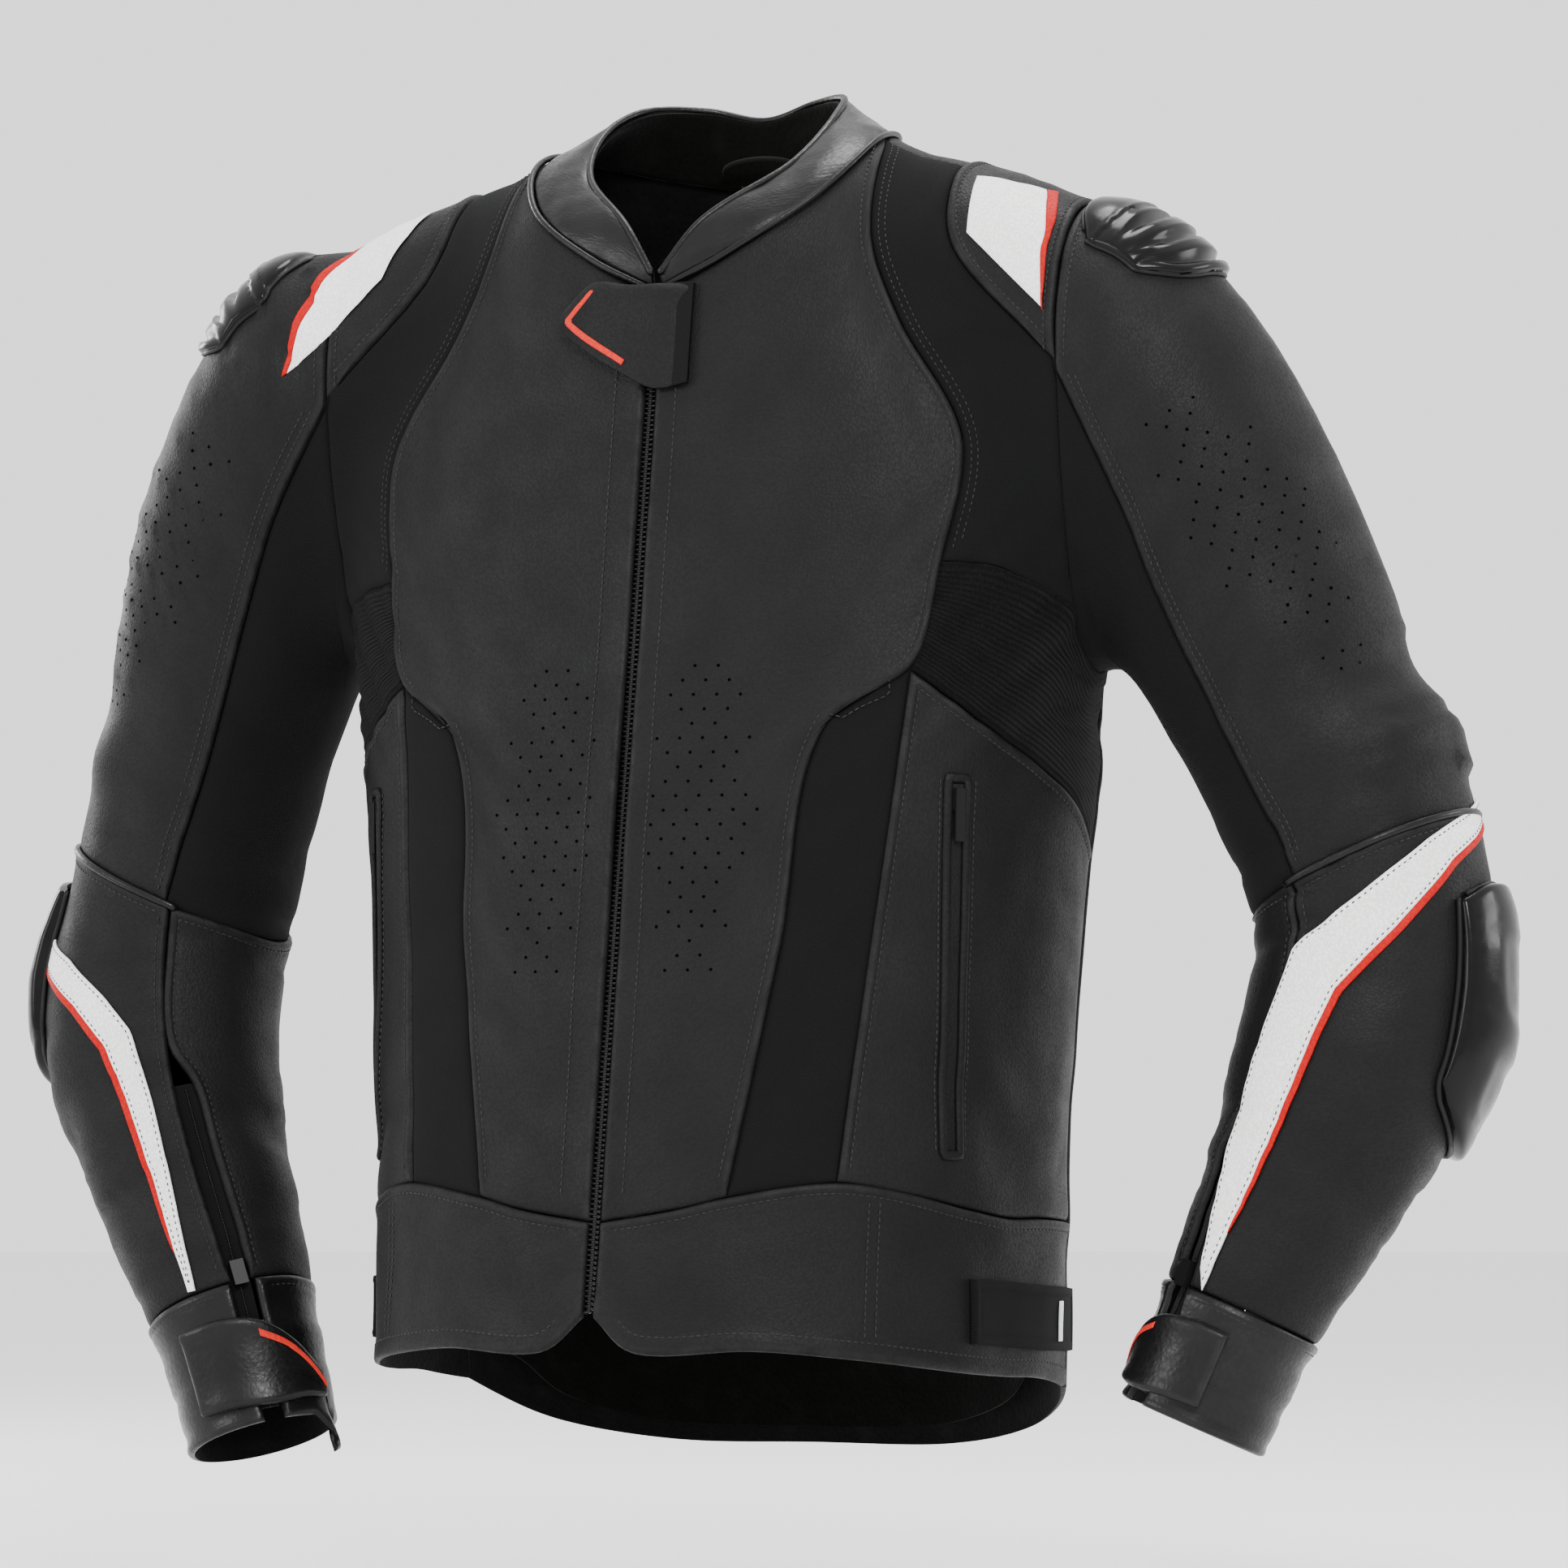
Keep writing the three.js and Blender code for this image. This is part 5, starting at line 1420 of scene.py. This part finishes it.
def main_zip():
    """Two rows of teeth, half a pitch apart, on two woven tapes."""
    shape, faces = tooth()
    for side, k in SIDES.items():
        start, end = zip_at(ZIP_TOP), zip_at(ZIP_END)
        total = np.linalg.norm(end - start)
        at = np.arange(1.5 + (TOOTH_PITCH / 2 if k > 0 else 0), total, TOOTH_PITCH)
        base = start + at[:, None] * zip_dir - zip_out * 2.4
        verts = (base[:, None] + shape[None, :, 0:1] * np.array([k, 0, 0.0]) + shape[None, :, 1:2] * zip_out
                 + shape[None, :, 2:3] * zip_dir).reshape(-1, 3)
        n = len(shape)
        all_faces = [[v + n * m for v in (f if k > 0 else f[::-1])] for m in range(len(at)) for f in faces]
        obj = make(f"main_zip_teeth_{side}", verts, all_faces, [MAT["metal"]])
        TORSO.put(obj, "zip_metal")
        columns = []
        for x in (1.6, 5, 10, 14.5):
            p = np.array([zip_at(z) for z in np.linspace(ZIP_TOP, ZIP_END, 150)]) + [k * x, 0, 0]
            wave = 0.15 * np.sin(np.arange(150) * 0.9)[:, None]
            columns.append(p - zip_out * (3.6 + wave + 0.05 * x))
        outer = np.array(columns)
        obj = shell_between(f"main_zip_tape_{side}_woven", outer, outer - zip_out * 0.9, [MAT["tape"]])
        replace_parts(TORSO.put(obj, "zip_tape"), f"main_zip_tape_{side}")


main_zip()

flap = Cloth("neck_flap_leather", [
    line(LB.F(21, -68), LB.F(21, -96), LB.F(21, -119)),
    line(LB.F(4, -68), LB.F(4, -96), LB.F(4, -122)),
    line(RB.F(12, -68), RB.F(12, -93), RB.F(12, -114.5)),
    line(RB.F(34, -66), RB.F(34, -86), RB.F(34, -101.5)),
    line(RB.F(48, -79), RB.F(51, -85.5), RB.F(48.5, -91)),
], ("thin", "thin", "roll", "thin"), cell=2.6, lift=5.3, thick=1.4, gap=0,
    shape=lambda u, v: -4.9 * (1 - step(u, -0.1, 0.3)))
FLAP = Place("neck_flap", "neck_flap")
flap.build([FLAP], [MAT["leather"], MAT["tape"]], "leather", ["neck_flap"])
stitch(FLAP, line(LB.F(18, -71), LB.F(18, -96), LB.F(18, -117)), 1.5)
layer("neck_flap_chevron", FLAP, [
    line(*(RB.F(x, z) for x, z in points)) for points in (
        ((33.5, -69), (44.5, -81.5), (47.4, -85.4), (44, -89.5), (14, -109.5)),
        ((31, -70.5), (41.3, -82.2), (43.6, -85.2), (41, -87.8), (12.5, -106.8)),
    )
], "orange", "leather", 2.2, 6.3, 0.8)

# ---- hanger loop, blank size label, trouser connector
def small_parts():
    """The hanger loop, the blank neck label and the trouser connector's tape."""
    t = np.linspace(0, math.pi, 26)
    path = np.stack([-21 * np.cos(t), 57 - 6.5 * np.sin(t) ** 0.8, 9.5 + 5.5 * np.sin(t)], -1)
    forward = np.tile([0, -1.0, 0.3], (len(path), 1))
    loop = make("hanger_loop_cord", *tube(path, 1.7, 8, 0.8, forward), [MAT["tape"]])
    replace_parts(TORSO.put(loop, "zip_tape"), "hanger_loop")
    x, z = np.meshgrid(np.linspace(-13, 13, 14), np.linspace(-13, 3, 9), indexing="ij")
    face = np.stack([x, 60.5 + 0.4 * np.sin(x / 5) - 0.1 * z, z], -1)
    label = shell_between("neck_label_blank", face, face + [0, 0.7, 0], [MAT["inside"]])
    TORSO.put(label, "lining")
    lo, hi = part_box("connector_zip")
    lo, hi = np.array(lo) * 1000, np.array(hi) * 1000
    x, z = np.meshgrid(np.linspace(lo[0], hi[0], 60), np.linspace(lo[2], hi[2], 8), indexing="ij")
    front_y = lo[1] + 0.12 * np.sin(x * 1.3) + 0.15
    outer, inner = np.stack([x, front_y, z], -1), np.stack([x, np.full_like(x, hi[1]), z], -1)
    tape = shell_between("connector_zip_tape", outer, inner, [MAT["tape"]])
    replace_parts(TORSO.put(tape, "zip_tape"), "connector_zip")


small_parts()


# ---- punched ventilation holes
def punched(name, place, points):
    """Small dished dark holes, each with a pressed rim, at points on the shell."""
    points = np.array(points)
    up = normals_at(points)
    a = np.cross(up, [0, 0, 1.0])
    a /= np.linalg.norm(a, axis=1, keepdims=True)
    b = np.cross(up, a)
    centre = points + up * drape(points)[:, None]
    rings = [(0.85, -0.25), (0.85, 0.12), (0.73, 0.18), (0.62, 0.06)]
    angle = np.linspace(0, 2 * math.pi, 8, endpoint=False)
    verts, faces = [], []
    around = np.cos(angle)[None, :, None] * a[:, None] + np.sin(angle)[None, :, None] * b[:, None]
    for r, h in rings:
        verts.append(centre[:, None] + r * around + h * up[:, None])
    verts = np.stack(verts, 1).reshape(-1, 3)
    for n in range(len(points)):
        o = n * 32
        for first in (o, o + 8, o + 16):
            for i in range(8):
                j = (i + 1) % 8
                faces.append([first + i, first + j, first + 8 + j, first + 8 + i])
        faces += [[o + i for i in range(7, -1, -1)], [o + 24 + i for i in range(8)]]
    obj = make(name, verts, faces, [MAT["hole"]])
    place.put(obj, "leather")


def chest_holes(k):
    """A staggered diamond of holes on one front panel."""
    out = []
    for i, x in enumerate(np.arange(11, 72, 5.9)):
        for j, z in enumerate(np.arange(-262, -412, -14.3)):
            zz = z - (7.15 if i % 2 else 0)
            edge = abs(x - 40) / 32 + abs(zz + 335) / 105
            if edge < 1.18 and (edge < 0.9 or (i + j) % 2):
                out.append(cast([k * x, 5, zz], [0, -1, 0]))
    return out


for side, k in SIDES.items():
    punched(f"chest_perforation_{side}", TORSO, chest_holes(k))
    g = GUIDES[side]
    holes = []
    for i, a in enumerate(np.arange(-26, 27, 5.2)):
        for j, s in enumerate(np.arange(3.6, 5.6, 0.17)):
            ss = s + (0.085 if i % 2 else 0)
            edge = abs(a) / 30 + abs(ss - 4.5) / 1.15
            if edge < 1.15 and (edge < 0.85 or (i + j) % 2):
                holes.append(g.A(ss, 24 + a + (ss - 3.9) * 13))
    holes = np.array(holes)
    point, axis = (np.array(v, float) for v in ELBOW[side])
    high = (holes - point) @ axis < -SPLIT_ABOVE_ELBOW
    for place, pick, title in ((g.top, high, "top"), (g.low, ~high, "low")):
        if pick.sum():
            punched(f"sleeve_perforation_{title}_{side}", place, holes[pick])

# ---- gathered thread and piping
SLOT_OF = {
    "polyester_thread": "leather", "smooth_leather": "gloss_leather", "full_grain_leather": "leather",
    "moulded_rubber": "hard_slider", "black_enamel": "zip_metal",
}
for kind, store in (("stitching", THREAD), ("piping", TRIM)):
    for (place_name, material_name), entry in sorted(store.items()):
        title = f"{kind}_{material_name.split('_')[0]}_{place_name}"
        obj = make(title, np.vstack(entry["verts"]), entry["faces"], [entry["material"]])
        entry["place"].put(obj, SLOT_OF[material_name])

# ---- CAD pieces that stay: rounded edges and enamel
for name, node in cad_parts.items():
    if node.hide_render:
        continue
    node.data.materials.clear()
    node.data.materials.append(MAT["rubber"] if "pocket_pull" in name else MAT["metal"])
    bevel = node.modifiers.new("rounded", "BEVEL")
    bevel.width, bevel.segments, bevel.limit_method = 0.0005, 3, "ANGLE"


# ---- floor, light and camera
def studio():
    """A wide pale floor, white surroundings, five soft lamps and the camera, in metres."""
    n, radius = 96, 14.0
    turns = [2 * math.pi * i / n for i in range(n)]
    verts = [(0, 0, FLOOR)]
    faces = []
    for ring in range(1, 9):
        r = radius * (ring / 8) ** 2
        verts += [(r * math.cos(turn), r * math.sin(turn), FLOOR) for turn in turns]
    for i in range(n):
        faces.append([0, 1 + i, 1 + (i + 1) % n])
        for ring in range(7):
            a, b = 1 + ring * n, 1 + (ring + 1) * n
            faces.append([a + i, b + i, b + (i + 1) % n, a + (i + 1) % n])
    mesh = bpy.data.meshes.new("studio_floor")
    mesh.from_pydata(verts, [], faces)
    paint = Shader("studio_floor", (0.9, 0.9, 0.9), 0.9)
    paint.uv = paint.node("ShaderNodeTexCoord").outputs["Object"]
    paint.tint(paint.range(paint.noise(2.0, 4), 0.3, 0.7, 0, 0.3), (0.88, 0.88, 0.885))
    mesh.materials.append(paint.done())
    floor = bpy.data.objects.new("studio_floor", mesh)
    bpy.context.scene.collection.objects.link(floor)

    world = bpy.data.worlds.new("studio")
    world.use_nodes = True
    world.node_tree.nodes["Background"].inputs["Color"].default_value = (1, 1, 1, 1)
    world.node_tree.nodes["Background"].inputs["Strength"].default_value = 1.7
    bpy.context.scene.world = world

    for name, place, power, size in (
        ("key", (1.5, -2.4, 1.7), 95, 0.9), ("fill", (-2.2, -2.2, 0.7), 40, 1.2),
        ("top", (0.1, 0.5, 2.2), 45, 1.0),
        ("rim_left", (2.4, 1.2, 0.5), 22, 0.9), ("rim_right", (-2.4, 1.2, 0.5), 22, 0.9),
    ):
        light = bpy.data.lights.new(name, "AREA")
        light.energy, light.size = power, size
        obj = bpy.data.objects.new(name, light)
        obj.location = place
        aim = Vector((0, 0, -0.32)) - Vector(place)
        obj.rotation_mode = "QUATERNION"
        obj.rotation_quaternion = aim.to_track_quat("-Z", "Y")
        bpy.context.scene.collection.objects.link(obj)

    az, el, distance = math.radians(22.5), math.radians(-3.5), 3.2
    back = Vector((math.sin(az) * math.cos(el), -math.cos(az) * math.cos(el), math.sin(el)))
    right = Vector((math.cos(az), math.sin(az), 0))
    camera = bpy.data.cameras.new("camera")
    camera.lens, camera.sensor_width = 144.3, 36
    obj = bpy.data.objects.new("camera", camera)
    obj.location = Vector((0, 0, -0.313)) + right * 0.033 + back * distance
    obj.rotation_mode = "QUATERNION"
    obj.rotation_quaternion = (-back).to_track_quat("-Z", "Y")
    bpy.context.scene.collection.objects.link(obj)
    bpy.context.scene.camera = obj


studio()
